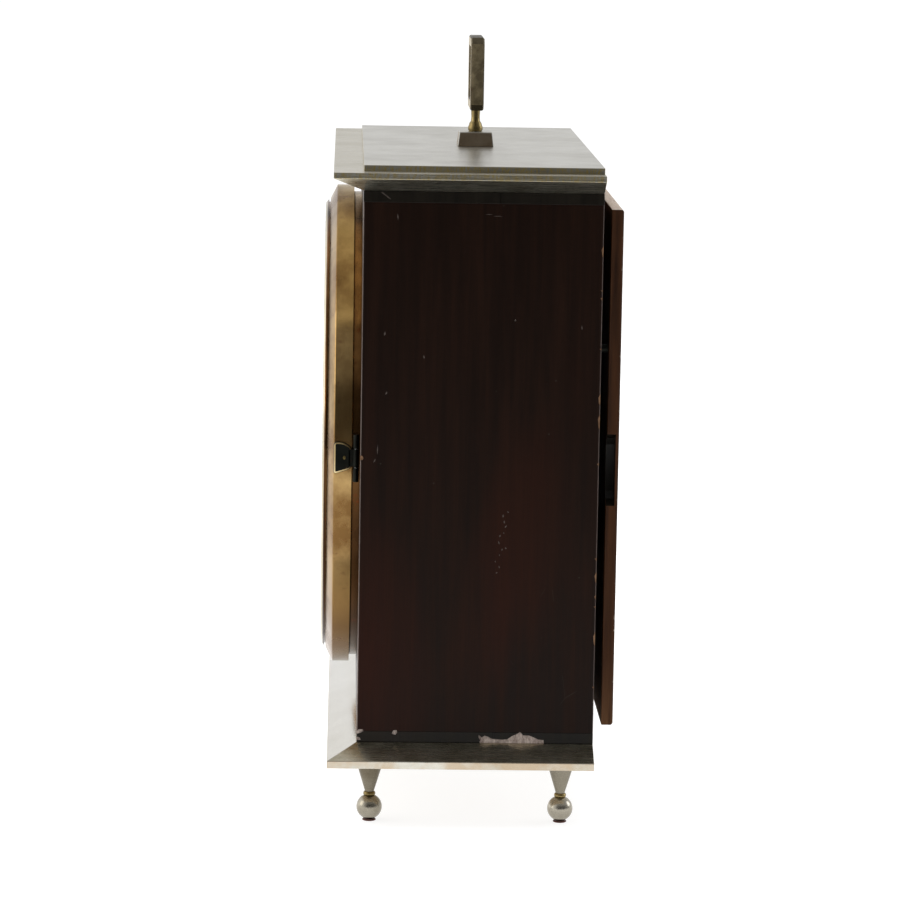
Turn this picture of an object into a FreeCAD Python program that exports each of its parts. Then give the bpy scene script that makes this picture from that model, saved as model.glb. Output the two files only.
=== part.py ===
import FreeCAD, Part
import math
import os
import Sketcher

# Mantel clock. Millimetres, +Z up, front towards -Y, X = 0 on the middle of the case, Z = 0 on the floor.
# Pieces of the clockwork are drawn facing the front: local x is across, local y is up and local z comes
# forward, all counted from the dial's centre on the front face of the case.

SIZES = {
    # wooden case
    "case_half": 108, "front_y": -38.25, "rear_y": 45.75, "case_bottom": 29.4, "case_top": 225.4,
    "side_wall": 8, "front_wall": 6, "board": 8, "band": 4, "centre_z": 128.7, "front_hole": 74,
    # nickel-plated plates above and below the case
    "overhang": 10.5, "plate_low": 22, "plate_edge": 2.6, "top_edge": 2.1, "bevel": 4.8, "slab": 2,
    # feet
    "foot_x": 103.5, "foot_front_y": -33.45, "foot_rear_y": 34.75, "pad_r": 3.2, "pad_thick": 1,
    "ball_r": 4.5, "ball_z": 5.2, "neck_low": 9.2, "neck_high": 10.6, "neck_r": 1.6, "shank_top_r": 5,
    "foot_collar_r": 2.6, "foot_spigot": 1.9,
    # carrying handle
    "handle_y": 3.75, "block_low": 6.75, "block_high": 6.1, "block_tall": 5.3, "stem_r": 2, "stem_hole": 2.1,
    "collar_r": 2.8, "collar_tall": 3.5, "loop_low": 248, "loop_high": 275, "loop_half": 15, "loop_bar": 4,
    "loop_thick": 5, "loop_cut": 2.2, "loop_edge": 0.7, "stem_drop": 4.5, "nut_across": 4, "nut_tall": 3,
    # bezel, ring and dial
    "ring_r": 87.5, "ring_in": 79, "ring_front": 2.7, "ring_seat": 1.9, "dial_recess": 83.6, "dial_r": 83.4,
    "arbor_hole": 3.2, "bezel_r": 90, "bezel_back": 3, "bezel_band": 9.3, "bezel_face_r": 84.9,
    "bezel_face": 11.8, "groove_r": 83.4, "groove_front": 12.4, "rim_r": 84.3, "rim_front": 13.6,
    "rim_flat_r": 82.6, "sight_r": 80, "lip_front": 12.9, "lip_back": 9.95, "glass_r": 82.8,
    "glass_seat": 83, "bezel_bore": 89, "web_back": 6.5, "glass_apex": 14.5, "glass_thick": 1.5,
    "glass_curve": 697, "clamp_back": 6.9, "clamp_front": 8, "clamp_in": 79.5,
    "hinge_x": 91.2, "hinge_out": 1.5, "knuckle_r": 1.1, "pin_r": 0.5, "pin_hole": 0.56,
    "leaf_out": 91.5, "leaf_front": 9.3, "leaf_wide": 5.45, "leaf_narrow": 3.2, "leaf_back": 3.3,
    "knuckle_half": 3.2, "knuckle_long": 5, "knuckle_gap": 0.3, "tab_long": 5.5, "tab_half": 5,
    "tab_back": 4, "tab_front": 6.4,
    # rear door
    "door_gap": 2.8, "door_thick": 4.2, "door_left": -106, "door_right": 107.6, "door_low": 36.4,
    "door_high": 219.9, "notch_low": 115, "notch_high": 141, "notch_deep": 7, "door_round": 1,
    "rear_hinge_x": -106.5, "rear_hinge_out": 1.4, "rear_knuckle_r": 1.25, "rear_pin_r": 0.6,
    "rear_pin_hole": 0.66, "rear_leaf": 0.8, "rear_leaf_wide": 12, "rear_half": 10, "rear_middle": 3.6,
    "hinge_low_z": 72, "hinge_high_z": 184, "strike_x": 97.6, "strike_z": 170, "strike_r": 1.5,
    "strike_deep": 5, "clip_gap": 0.35, "clip_thick": 0.9,
    # clockwork frame, depths counted from the front of the case, backwards negative
    "plate_half": 38, "plate_down": -66, "plate_up": 60, "front_plate_face": -8, "plate_thick": 2,
    "plate_room": 24, "pillar_x": 32, "pillar_up": 54, "pillar_down": -60, "pillar_r": 3,
    "strap_up": 40, "strap_down": -56, "strap_up_half": 72, "strap_down_half": 60, "strap_wide": 8,
    "strap_thick": 2, "screw_r": 1.3, "screw_head": 2.4, "screw_in": 4, "pivot_r": 0.6, "pivot_play": 0.06,
    "shaft_r": 1.2,
    # wheel train
    "barrel_v": -37.6, "barrel_r": 24, "barrel_wall": 1, "barrel_arbor_r": 3.6, "barrel_pivot": 2,
    "square": 3, "square_front": 4.5, "middle_u": -16.36, "middle_v": -13.17, "third_u": 10.4,
    "third_v": 18, "escape_v": 33.8, "pallet_v": 51.5, "escape_r": 13, "pallet_r": 14.2,
    "minute_u": -10.39, "minute_v": 6, "stud_r": 0.8, "ratchet_r": 9, "ratchet_root": 7.7,
    # hands
    "centre_arbor_r": 1, "cannon_bore": 1.06, "cannon_r": 1.8, "hour_bore": 1.86, "hour_pipe": 2.8,
    "hour_hand": 45, "minute_hand": 66, "hand_thick": 0.5, "hour_hand_out": 5, "minute_hand_out": 7,
    # pendulum
    "rod_out": -43, "rod_r": 0.8, "bob_v": -50, "bob_r": 14, "bob_thick": 6.4, "crutch_out": -38.6,
}

doc = FreeCAD.newDocument("MantelClock")
sheet = doc.addObject("Spreadsheet::Sheet", "Sizes")
for row, (alias, size) in enumerate(SIZES.items(), start=1):
    sheet.set("A%d" % row, alias)
    sheet.set("B%d" % row, str(size))
    sheet.setAlias("B%d" % row, alias)
doc.recompute()

FRONTWARD = FreeCAD.Rotation(FreeCAD.Vector(1, 0, 0), 90)
UPRIGHT = FreeCAD.Rotation()
DIAL_BASE = ("0", "Sizes.front_y", "Sizes.centre_z")
NODES = []


def number(expression):
    """Value of an expression over the sheet."""
    return float(sheet.evalExpression(expression))


def bind(thing, path, expression):
    """Drive one property of an object from the sheet."""
    thing.setExpression(path, expression)


def bind_base(thing, base, rotation):
    """Set an object's rotation and drive its position from the sheet."""
    x, y, z = (number(part) for part in base)
    thing.Placement = FreeCAD.Placement(FreeCAD.Vector(x, y, z), rotation)
    for axis, part in zip("xyz", base):
        bind(thing, "Placement.Base." + axis, part)


def keep(thing, label):
    """Name a finished sub-part and list it for export."""
    thing.Label = label
    NODES.append(thing)
    return thing


def dial_base(depth="0", u="0", v="0"):
    """Base of a piece drawn facing the front, at a depth and a place on the dial's plane."""
    return (u, "Sizes.front_y - (%s)" % depth, "Sizes.centre_z + (%s)" % v)


def block(name, low, high):
    """Box between two corners given as expressions."""
    box = doc.addObject("Part::Box", name)
    for side, a, b in zip(("Length", "Width", "Height"), low, high):
        bind(box, side, "(%s) - (%s)" % (b, a))
    bind_base(box, low, UPRIGHT)
    return box


def rod(name, radius, length, base, rotation=UPRIGHT):
    """Cylinder of a bound radius and length."""
    cylinder = doc.addObject("Part::Cylinder", name)
    bind(cylinder, "Radius", radius)
    bind(cylinder, "Height", length)
    bind_base(cylinder, base, rotation)
    return cylinder


def fused(name, pieces):
    """Union of several objects."""
    union = doc.addObject("Part::MultiFuse", name)
    union.Shapes = pieces
    union.Refine = True
    return union


def cut(name, base, tool):
    """One object with another removed."""
    result = doc.addObject("Part::Cut", name)
    result.Base = base
    result.Tool = tool
    return result


def grouped(name, pieces):
    """Separate identical pieces kept under one name."""
    compound = doc.addObject("Part::Compound", name)
    compound.Links = pieces
    return compound


def tapered(name, low_rect, high_rect, low, high):
    """Frustum between a lower and an upper rectangle (x0, x1, y0, y1)."""
    wedge = doc.addObject("Part::Wedge", name)
    values = {"Ymin": "0", "Ymax": "(%s) - (%s)" % (high, low)}
    for key, rect in (("", low_rect), ("2", high_rect)):
        values["X%smin" % key] = rect[0]
        values["X%smax" % key] = rect[1]
        values["Z%smin" % key] = "-(%s)" % rect[3]
        values["Z%smax" % key] = "-(%s)" % rect[2]
    for key in ("Xmin", "Xmax", "Ymin", "Ymax", "Zmin", "Zmax", "X2min", "X2max", "Z2min", "Z2max"):
        setattr(wedge, key, number(values[key]))
        bind(wedge, key, values[key])
    bind_base(wedge, ("0", "0", low), FRONTWARD)
    return wedge


def new_sketch(body, role):
    """Sketch laid on one of the body's own origin planes."""
    sketch = body.newObject("Sketcher::SketchObject", body.Name + "_sketch")
    plane = [part for part in body.Origin.OriginFeatures if part.Role == role][0]
    sketch.AttachmentSupport = [(plane, "")]
    sketch.MapMode = "FlatFace"
    return sketch


def pin_point(sketch, index, vertex, u, v):
    """Hold a sketch point at two bound coordinates."""
    for kind, part in (("DistanceX", u), ("DistanceY", v)):
        place = sketch.addConstraint(Sketcher.Constraint(kind, -1, 1, index, vertex, number(part)))
        bind(sketch, "Constraints[%d]" % place, part)


def add_polygon(sketch, points):
    """Closed polygon through bound points."""
    values = [FreeCAD.Vector(number(u), number(v), 0) for u, v in points]
    first = sketch.GeometryCount
    count = len(points)
    for index in range(count):
        sketch.addGeometry(Part.LineSegment(values[index], values[(index + 1) % count]), False)
    for index, (u, v) in enumerate(points):
        after = first + (index - 1) % count
        sketch.addConstraint(Sketcher.Constraint("Coincident", after, 2, first + index, 1))
        pin_point(sketch, first + index, 1, u, v)


def add_circle(sketch, u, v, radius):
    """Circle at a bound place with a bound radius."""
    centre = FreeCAD.Vector(number(u), number(v), 0)
    index = sketch.addGeometry(Part.Circle(centre, FreeCAD.Vector(0, 0, 1), number(radius)), False)
    pin_point(sketch, index, 3, u, v)
    place = sketch.addConstraint(Sketcher.Constraint("Radius", index, number(radius)))
    bind(sketch, "Constraints[%d]" % place, radius)


def turned(name, profile, base, rotation=UPRIGHT):
    """Lathe part: a half profile (radius, height) turned about its own axis."""
    body = doc.addObject("PartDesign::Body", name)
    sketch = new_sketch(body, "XZ_Plane")
    add_polygon(sketch, profile)
    turn = body.newObject("PartDesign::Revolution", name + "_turn")
    turn.Profile = sketch
    turn.ReferenceAxis = (sketch, ["V_Axis"])
    turn.Angle = 360
    bind_base(body, base, rotation)
    return body


def sheet_part(name, polygons, circles, thick, base, rotation=FRONTWARD):
    """Flat part cut from sheet: outlines and holes, padded along its local z."""
    body = doc.addObject("PartDesign::Body", name)
    sketch = new_sketch(body, "XY_Plane")
    for points in polygons:
        add_polygon(sketch, points)
    for u, v, radius in circles:
        add_circle(sketch, u, v, radius)
    pad = body.newObject("PartDesign::Pad", name + "_pad")
    pad.Profile = sketch
    bind(pad, "Length", thick)
    bind_base(body, base, rotation)
    return body


def rectangle(u0, u1, v0, v1):
    """Four corners of a rectangle as bound points."""
    return [(u0, v0), (u1, v0), (u1, v1), (u0, v1)]


def build_case():
    """Side panels, boards, front panel with the round hole, and the dark bandings."""
    half, inner = "Sizes.case_half", "Sizes.case_half - Sizes.side_wall"
    front, rear = "Sizes.front_y", "Sizes.rear_y"
    low, high = "Sizes.case_bottom + Sizes.band", "Sizes.case_top - Sizes.band"
    behind = "Sizes.front_y + Sizes.front_wall"
    keep(block("left_panel", ("-" + half, front, low), ("-(%s)" % inner, rear, high)), "left_side_panel")
    keep(block("right_panel", (inner, front, low), (half, rear, high)), "right_side_panel")
    bottom = ("-(%s)" % inner, behind, "Sizes.case_bottom"), (inner, rear, "Sizes.case_bottom + Sizes.board")
    keep(block("bottom_panel", *bottom), "bottom_board")
    top = block("top_panel", ("-(%s)" % inner, behind, "Sizes.case_top - Sizes.board"),
                (inner, rear, "Sizes.case_top"))
    drill = rod("top_drill", "Sizes.stem_hole", "Sizes.board", ("0", "Sizes.handle_y",
                "Sizes.case_top - Sizes.board"))
    keep(cut("top_drilled", top, drill), "top_board")
    panel = rectangle("-(%s)" % inner, inner, "Sizes.case_bottom + Sizes.band - Sizes.centre_z",
                      "Sizes.case_top - Sizes.band - Sizes.centre_z")
    keep(sheet_part("front_board", [panel], [("0", "0", "Sizes.front_hole")], "Sizes.front_wall",
                    dial_base("-Sizes.front_wall")), "front_panel")
    for name, level in (("lower_banding", "Sizes.case_bottom"), ("upper_banding", high)):
        outline = [("-" + half, front), (half, front), (half, rear), (inner, rear), (inner, behind),
                   ("-(%s)" % inner, behind), ("-(%s)" % inner, rear), ("-" + half, rear)]
        keep(sheet_part(name + "_strip", [outline], [], "Sizes.band", ("0", "0", level), UPRIGHT), name)


def build_plates():
    """Bevelled metal plates under and over the case, and the slab on top."""
    wide, half = "Sizes.case_half + Sizes.overhang", "Sizes.case_half"
    out, front, rear = "Sizes.front_y - Sizes.overhang", "Sizes.front_y", "Sizes.rear_y"
    large = ("-(%s)" % wide, wide, out, rear)
    small = ("-" + half, half, front, rear)
    edge = "Sizes.plate_low + Sizes.plate_edge"
    lower_edge = block("base_edge", (large[0], out, "Sizes.plate_low"), (wide, rear, edge))
    lower_bevel = tapered("base_bevel", large, small, edge, "Sizes.case_bottom")
    keep(fused("base_whole", [lower_edge, lower_bevel]), "base_plate")
    upper = "Sizes.case_top + Sizes.bevel"
    upper_bevel = tapered("top_bevel", small, large, "Sizes.case_top", upper)
    upper_edge = block("top_edge_block", (large[0], out, upper), (wide, rear, upper + " + Sizes.top_edge"))
    hole = rod("plate_drill", "Sizes.stem_hole", "Sizes.bevel + Sizes.top_edge",
               ("0", "Sizes.handle_y", "Sizes.case_top"))
    keep(cut("top_whole", fused("top_solid", [upper_bevel, upper_edge]), hole), "top_plate")
    level = upper + " + Sizes.top_edge"
    slab = block("slab_block", (small[0], front, level), (half, rear, level + " + Sizes.slab"))
    slab_hole = rod("slab_drill", "Sizes.stem_hole", "Sizes.slab", ("0", "Sizes.handle_y", level))
    keep(cut("slab_drilled", slab, slab_hole), "top_slab")


def build_feet():
    """Four feet: felt pad, flattened ball, collar ring and tapering shank."""
    pads, balls, collars, shanks = [], [], [], []
    places = [(x, y) for x in ("-Sizes.foot_x", "Sizes.foot_x")
              for y in ("Sizes.foot_front_y", "Sizes.foot_rear_y")]
    for number_of, (x, y) in enumerate(places):
        base = (x, y, "0")
        pads.append(rod("pad_%d" % number_of, "Sizes.pad_r", "Sizes.pad_thick", base))
        sphere = doc.addObject("Part::Sphere", "sphere_%d" % number_of)
        bind(sphere, "Radius", "Sizes.ball_r")
        bind(sphere, "Angle1", "-asin((Sizes.ball_z - Sizes.pad_thick) / Sizes.ball_r)")
        bind(sphere, "Angle2", "asin((Sizes.neck_low - Sizes.ball_z) / Sizes.ball_r)")
        bind_base(sphere, (x, y, "Sizes.ball_z"), UPRIGHT)
        balls.append(sphere)
        ring = [("Sizes.neck_r", "Sizes.neck_low"), ("Sizes.foot_collar_r - 0.3", "Sizes.neck_low"),
                ("Sizes.foot_collar_r", "Sizes.neck_low + 0.4"),
                ("Sizes.foot_collar_r", "Sizes.neck_high - 0.4"),
                ("Sizes.foot_collar_r - 0.4", "Sizes.neck_high"), ("Sizes.neck_r", "Sizes.neck_high")]
        collars.append(turned("collar_%d" % number_of, ring, base))
        shank = [("0", "Sizes.neck_low"), ("Sizes.neck_r", "Sizes.neck_low"),
                 ("Sizes.neck_r", "Sizes.neck_high"), ("Sizes.shank_top_r", "Sizes.plate_low"),
                 ("0", "Sizes.plate_low")]
        shanks.append(turned("shank_%d" % number_of, shank, base))
    keep(grouped("pads", pads), "foot_pads")
    keep(grouped("balls", balls), "foot_balls")
    keep(grouped("collars", collars), "foot_collars")
    keep(grouped("shanks", shanks), "foot_shanks")


def build_handle():
    """Tapered block, collared stem with its long screw and nut, and the rectangular loop."""
    base_z = "Sizes.case_top + Sizes.bevel + Sizes.top_edge + Sizes.slab"
    middle = "Sizes.handle_y"
    rects = []
    for half in ("Sizes.block_low", "Sizes.block_high"):
        rects.append(("-" + half, half, "%s - %s" % (middle, half), "%s + %s" % (middle, half)))
    top = base_z + " + Sizes.block_tall"
    solid = tapered("block_taper", rects[0], rects[1], base_z, top)
    hole = rod("block_drill", "Sizes.stem_hole", "Sizes.block_tall", ("0", middle, base_z))
    keep(cut("block_drilled", solid, hole), "handle_block")
    foot = "Sizes.case_top - Sizes.board - Sizes.stem_drop"
    profile = [("0", foot), ("Sizes.stem_r", foot), ("Sizes.stem_r", top), ("Sizes.collar_r - 0.6", top),
               ("Sizes.collar_r", top + " + 0.9"), ("Sizes.collar_r", top + " + Sizes.collar_tall - 1.3"),
               ("Sizes.collar_r - 0.7", top + " + Sizes.collar_tall - 0.3"),
               ("1.7", top + " + Sizes.collar_tall"), ("1.7", "Sizes.loop_low"), ("0", "Sizes.loop_low")]
    keep(turned("stem", profile, ("0", middle, "0")), "handle_stem")
    points = []
    for turn in range(6):
        angle = 60 * turn
        points.append(("Sizes.nut_across / cos(30) * cos(%d)" % angle,
                       "Sizes.nut_across / cos(30) * sin(%d)" % angle))
    keep(sheet_part("nut", [points], [("0", "0", "Sizes.stem_hole")], "Sizes.nut_tall",
                    ("0", middle, "Sizes.case_top - Sizes.board - Sizes.nut_tall"), UPRIGHT), "handle_nut")
    half, side, low, high = "Sizes.loop_half", "Sizes.loop_cut", "Sizes.loop_low", "Sizes.loop_high"
    outer = [("-%s + %s" % (half, side), low), ("%s - %s" % (half, side), low),
             (half, "%s + %s" % (low, side)), (half, "%s - %s" % (high, side)),
             ("%s - %s" % (half, side), high), ("-%s + %s" % (half, side), high),
             ("-" + half, "%s - %s" % (high, side)), ("-" + half, "%s + %s" % (low, side))]
    bar = "Sizes.loop_bar"
    inner = rectangle("-%s + %s" % (half, bar), "%s - %s" % (half, bar), "%s + %s" % (low, bar),
                      "%s - %s" % (high, bar))
    loop = sheet_part("loop", [outer, inner], [], "Sizes.loop_thick",
                      ("0", "Sizes.handle_y + Sizes.loop_thick / 2", "0"))
    doc.recompute()
    pad = loop.Tip
    flats = ["Face%d" % (index + 1) for index, face in enumerate(pad.Shape.Faces)
             if abs(face.normalAt(0, 0).z) > 0.9]
    bevel = loop.newObject("PartDesign::Chamfer", "loop_bevel")
    bevel.Base = (pad, flats)
    bind(bevel, "Size", "Sizes.loop_edge")
    loop.Tip = bevel
    keep(loop, "handle_loop")


def knuckles(name, radius, hole, spans, axis_x, axis_y):
    """Hinge knuckles: short tubes on one vertical axis."""
    tubes = []
    for index, (low, high) in enumerate(spans):
        profile = rectangle(hole, radius, low, high)
        tubes.append(turned("%s_tube_%d" % (name, index), profile, (axis_x, axis_y, "0")))
    return tubes


def build_bezel():
    """Fixed ring on the case, dial, opening bezel with glass, leaf, pin and thumb tab."""
    ring = [("Sizes.ring_in", "0"), ("Sizes.ring_r", "0"), ("Sizes.ring_r", "Sizes.ring_front"),
            ("Sizes.dial_recess", "Sizes.ring_front"), ("Sizes.dial_recess", "Sizes.ring_seat"),
            ("Sizes.ring_in", "Sizes.ring_seat")]
    ring_body = turned("ring_body", ring, DIAL_BASE, FRONTWARD)
    axis_x, axis_y = "Sizes.hinge_x", "Sizes.front_y - Sizes.hinge_out"
    gap, half, long = "Sizes.knuckle_gap", "Sizes.knuckle_half", "Sizes.knuckle_long"
    middle = "Sizes.centre_z"
    upper = ("%s + %s + %s" % (middle, half, gap), "%s + %s + %s + %s" % (middle, half, gap, long))
    lower = ("%s - %s - %s - %s" % (middle, half, gap, long), "%s - %s - %s" % (middle, half, gap))
    fixed = knuckles("ring_knuckle", "Sizes.knuckle_r", "Sizes.pin_r", [upper, lower], axis_x, axis_y)
    for index, (low, high) in enumerate((upper, lower)):
        fixed.append(block("ring_web_%d" % index,
                           ("Sizes.ring_r - 1.2", "Sizes.front_y - Sizes.hinge_out - Sizes.knuckle_r", low),
                           ("Sizes.hinge_x - Sizes.pin_r - 0.15", "Sizes.front_y - 0.4", high)))
    keep(fused("ring_whole", [ring_body] + fixed), "bezel_mount_ring")
    screws = []
    for index in range(4):
        angle = 45 + 90 * index
        place = ("81.3 * cos(%d)" % angle, "81.3 * sin(%d)" % angle)
        profile = [("0", "-Sizes.screw_in"), ("0.9", "-Sizes.screw_in"), ("0.9", "0.7"), ("1.8", "1.6"),
                   ("0", "1.6")]
        screws.append(turned("ring_screw_%d" % index, profile, dial_base("0", *place), FRONTWARD))
    keep(grouped("ring_screws", screws), "mount_ring_screws")
    keep(sheet_part("dial_disc", [], [("0", "0", "Sizes.dial_r"), ("0", "0", "Sizes.arbor_hole"),
                                      ("0", "Sizes.barrel_v", "Sizes.arbor_hole")],
                    "Sizes.ring_front - Sizes.ring_seat", dial_base("Sizes.ring_seat")), "dial")
    profile = [("bezel_r", "bezel_back"), ("bezel_r", "bezel_band"), ("bezel_face_r", "bezel_face"),
               ("groove_r", "bezel_face"), ("groove_r", "groove_front"), ("rim_r", "groove_front"),
               ("rim_r", "rim_front - 0.5"), ("rim_r - 0.5", "rim_front"), ("rim_flat_r", "rim_front"),
               ("sight_r", "lip_front"), ("sight_r", "lip_back"), ("glass_seat", "lip_back"),
               ("glass_seat", "web_back"), ("bezel_bore", "web_back"), ("bezel_bore", "bezel_back")]
    profile = [("Sizes." + r, "Sizes." + out) for r, out in profile]
    keep(turned("bezel_turned", profile, DIAL_BASE, FRONTWARD), "bezel_ring")
    clamp = rectangle("Sizes.clamp_in", "Sizes.glass_seat", "Sizes.clamp_back", "Sizes.clamp_front")
    keep(turned("clamp_turned", clamp, DIAL_BASE, FRONTWARD), "glass_retaining_ring")
    glass = doc.addObject("Part::Feature", "glass_dome")
    glass.Shape = glass_shape()
    glass.Placement = FreeCAD.Placement(FreeCAD.Vector(0, number("Sizes.front_y"), number("Sizes.centre_z")),
                                        FRONTWARD)
    keep(glass, "bezel_glass")
    leaf_middle = ("%s - %s" % (middle, half), "%s + %s" % (middle, half))
    moving = knuckles("leaf_knuckle", "Sizes.knuckle_r", "Sizes.pin_hole", [leaf_middle], axis_x, axis_y)
    plate = sheet_part("leaf_plate", [[("-Sizes.leaf_front", "-Sizes.leaf_wide"),
                                       ("-Sizes.leaf_back", "-Sizes.leaf_narrow"),
                                       ("-Sizes.leaf_back", "Sizes.leaf_narrow"),
                                       ("-Sizes.leaf_front", "Sizes.leaf_wide")]], [],
                       "Sizes.leaf_out - Sizes.bezel_r + 1", ("Sizes.bezel_r - 1", "Sizes.front_y", middle),
                       FreeCAD.Rotation(FreeCAD.Matrix(0, 0, 1, 0, 1, 0, 0, 0, 0, 1, 0, 0, 0, 0, 0, 1)))
    web = block("leaf_web", ("Sizes.hinge_x - 0.9", "Sizes.front_y - 4.2", leaf_middle[0]),
                ("Sizes.hinge_x + 0.3", "Sizes.front_y - Sizes.hinge_out - 0.7", leaf_middle[1]))
    bore = rod("leaf_bore", "Sizes.bezel_r", "20", dial_base("-5"), FRONTWARD)
    drum = cut("leaf_formed", fused("leaf_solid", [plate, web] + moving), bore)
    keep(drum, "bezel_hinge_leaf")
    keep(rod("hinge_pin", "Sizes.pin_r", "2 * (%s + %s + %s)" % (half, gap, long),
             (axis_x, axis_y, lower[0])), "bezel_hinge_pin")
    tab = block("tab_block", ("-Sizes.bezel_r - Sizes.tab_long", "Sizes.front_y - Sizes.tab_front",
                              "Sizes.centre_z - Sizes.tab_half"),
                ("-Sizes.bezel_r + 2", "Sizes.front_y - Sizes.tab_back", "Sizes.centre_z + Sizes.tab_half"))
    inside = rod("tab_bore", "Sizes.bezel_r", "20", dial_base("-5"), FRONTWARD)
    keep(cut("tab_formed", tab, inside), "bezel_thumb_tab")


def glass_shape():
    """Domed glass: the space between two equal spheres, trimmed round."""
    curve, thick, apex = number("Sizes.glass_curve"), number("Sizes.glass_thick"), number("Sizes.glass_apex")
    radius = number("Sizes.glass_r")
    arc = []
    for top in (apex, apex - thick):
        low = top - (curve - math.sqrt(curve ** 2 - radius ** 2))
        mid_r = radius / 2
        mid = top - (curve - math.sqrt(curve ** 2 - mid_r ** 2))
        arc.append((FreeCAD.Vector(0, 0, top), FreeCAD.Vector(mid_r, 0, mid), FreeCAD.Vector(radius, 0, low)))
    outer, inner = Part.Arc(*arc[0]).toShape(), Part.Arc(*arc[1]).toShape()
    rim = Part.makeLine(arc[0][2], arc[1][2])
    axis = Part.makeLine(arc[1][0], arc[0][0])
    face = Part.Face(Part.Wire(Part.__sortEdges__([outer, rim, inner, axis])))
    return face.revolve(FreeCAD.Vector(0, 0, 0), FreeCAD.Vector(0, 0, 1), 360)


def build_door():
    """Rear door with its finger notch, two hinges, strike and spring clip."""
    inner = "Sizes.rear_y + Sizes.door_gap"
    left, right, low, high = ("Sizes.door_" + side for side in ("left", "right", "low", "high"))
    turn = "Sizes.door_round"
    outline = [(left, low), ("%s - %s" % (right, turn), low), (right, "%s + %s" % (low, turn)),
               (right, "Sizes.notch_low"), ("%s - Sizes.notch_deep" % right, "Sizes.notch_low + 3"),
               ("%s - Sizes.notch_deep" % right, "Sizes.notch_high - 3"), (right, "Sizes.notch_high"),
               (right, "%s - %s" % (high, turn)), ("%s - %s" % (right, turn), high), (left, high)]
    solid = [point for point in outline if "notch" not in point[0] + point[1]]
    board = sheet_part("door_board", [solid], [], "Sizes.door_thick", ("0", inner + " + Sizes.door_thick", "0"))
    notch = sheet_part("door_notch", [[("%s + 1" % right, "Sizes.notch_low"), ("%s + 1" % right,
                       "Sizes.notch_high")] + outline[5:3:-1]], [], "Sizes.door_thick - 1.2",
                       ("0", inner + " + Sizes.door_thick - 1.2", "0"))
    keep(cut("door_cut", board, notch), "rear_door")
    axis_x, axis_y = "Sizes.rear_hinge_x", "Sizes.rear_y + Sizes.rear_hinge_out"
    case_parts, door_parts, pins = [], [], []
    for index, centre in enumerate(("Sizes.hinge_low_z", "Sizes.hinge_high_z")):
        name = "rear_%d" % index
        middle, end, gap = "Sizes.rear_middle", "Sizes.rear_half", "0.3"
        outer = [("%s - %s" % (centre, end), "%s - %s - %s" % (centre, middle, gap)),
                 ("%s + %s + %s" % (centre, middle, gap), "%s + %s" % (centre, end))]
        tubes = knuckles(name + "_case", "Sizes.rear_knuckle_r", "Sizes.rear_pin_r", outer, axis_x, axis_y)
        side = block(name + "_case_leaf", ("Sizes.rear_hinge_x + 1.4", "Sizes.rear_y", "%s - %s" % (centre, end)),
                     ("-Sizes.case_half + Sizes.side_wall - 0.4", "Sizes.rear_y + Sizes.rear_leaf",
                      "%s + %s" % (centre, end)))
        webs = [block("%s_case_web_%d" % (name, number_of),
                      ("Sizes.rear_hinge_x + Sizes.rear_pin_r + 0.15", "Sizes.rear_y", low),
                      ("Sizes.rear_hinge_x + 1.6", "Sizes.rear_y + Sizes.rear_hinge_out", high))
                for number_of, (low, high) in enumerate(outer)]
        case_parts.append(fused(name + "_case_whole", [side] + tubes + webs))
        inside = [("%s - %s" % (centre, middle), "%s + %s" % (centre, middle))]
        tube = knuckles(name + "_door", "Sizes.rear_knuckle_r", "Sizes.rear_pin_hole", inside, axis_x, axis_y)
        leaf = block(name + "_door_leaf", ("Sizes.door_left + 1.1", inner + " - Sizes.rear_leaf",
                     "%s - %s" % (centre, end)), ("Sizes.door_left + Sizes.rear_leaf_wide", inner,
                     "%s + %s" % (centre, end)))
        web = block(name + "_door_web", ("Sizes.rear_hinge_x + Sizes.rear_pin_hole + 0.15", inner + " - 1.5",
                    inside[0][0]), ("Sizes.door_left + 1.4", inner, inside[0][1]))
        door_parts.append(fused(name + "_door_whole", [leaf, web] + tube))
        pins.append(rod(name + "_pin", "Sizes.rear_pin_r", "2 * Sizes.rear_half",
                        (axis_x, axis_y, "%s - %s" % (centre, end))))
    keep(grouped("case_leaves", case_parts), "rear_hinge_case_leaves")
    keep(grouped("door_leaves", door_parts), "rear_hinge_door_leaves")
    keep(grouped("rear_pins", pins), "rear_hinge_pins")
    back = FreeCAD.Rotation(FreeCAD.Vector(1, 0, 0), 90)
    keep(rod("strike_stud", "Sizes.strike_r", "Sizes.strike_deep + Sizes.door_gap",
             ("Sizes.strike_x", inner, "Sizes.strike_z"), back), "door_strike")
    reach = "(Sizes.strike_r + Sizes.clip_gap)"
    deep, wall = "Sizes.rear_y - 9", "Sizes.case_half - Sizes.side_wall"
    outer = block("clip_outer", ("Sizes.strike_x - 2.2", deep, "Sizes.strike_z - %s - Sizes.clip_thick" % reach),
                  (wall, "Sizes.rear_y - 0.5", "Sizes.strike_z + %s + Sizes.clip_thick" % reach))
    hollow = block("clip_hollow", ("Sizes.strike_x - 3", deep + " + Sizes.clip_thick",
                                   "Sizes.strike_z - %s" % reach), (wall, "Sizes.rear_y",
                                                                    "Sizes.strike_z + %s" % reach))
    keep(cut("clip_bent", outer, hollow), "door_catch")


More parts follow.
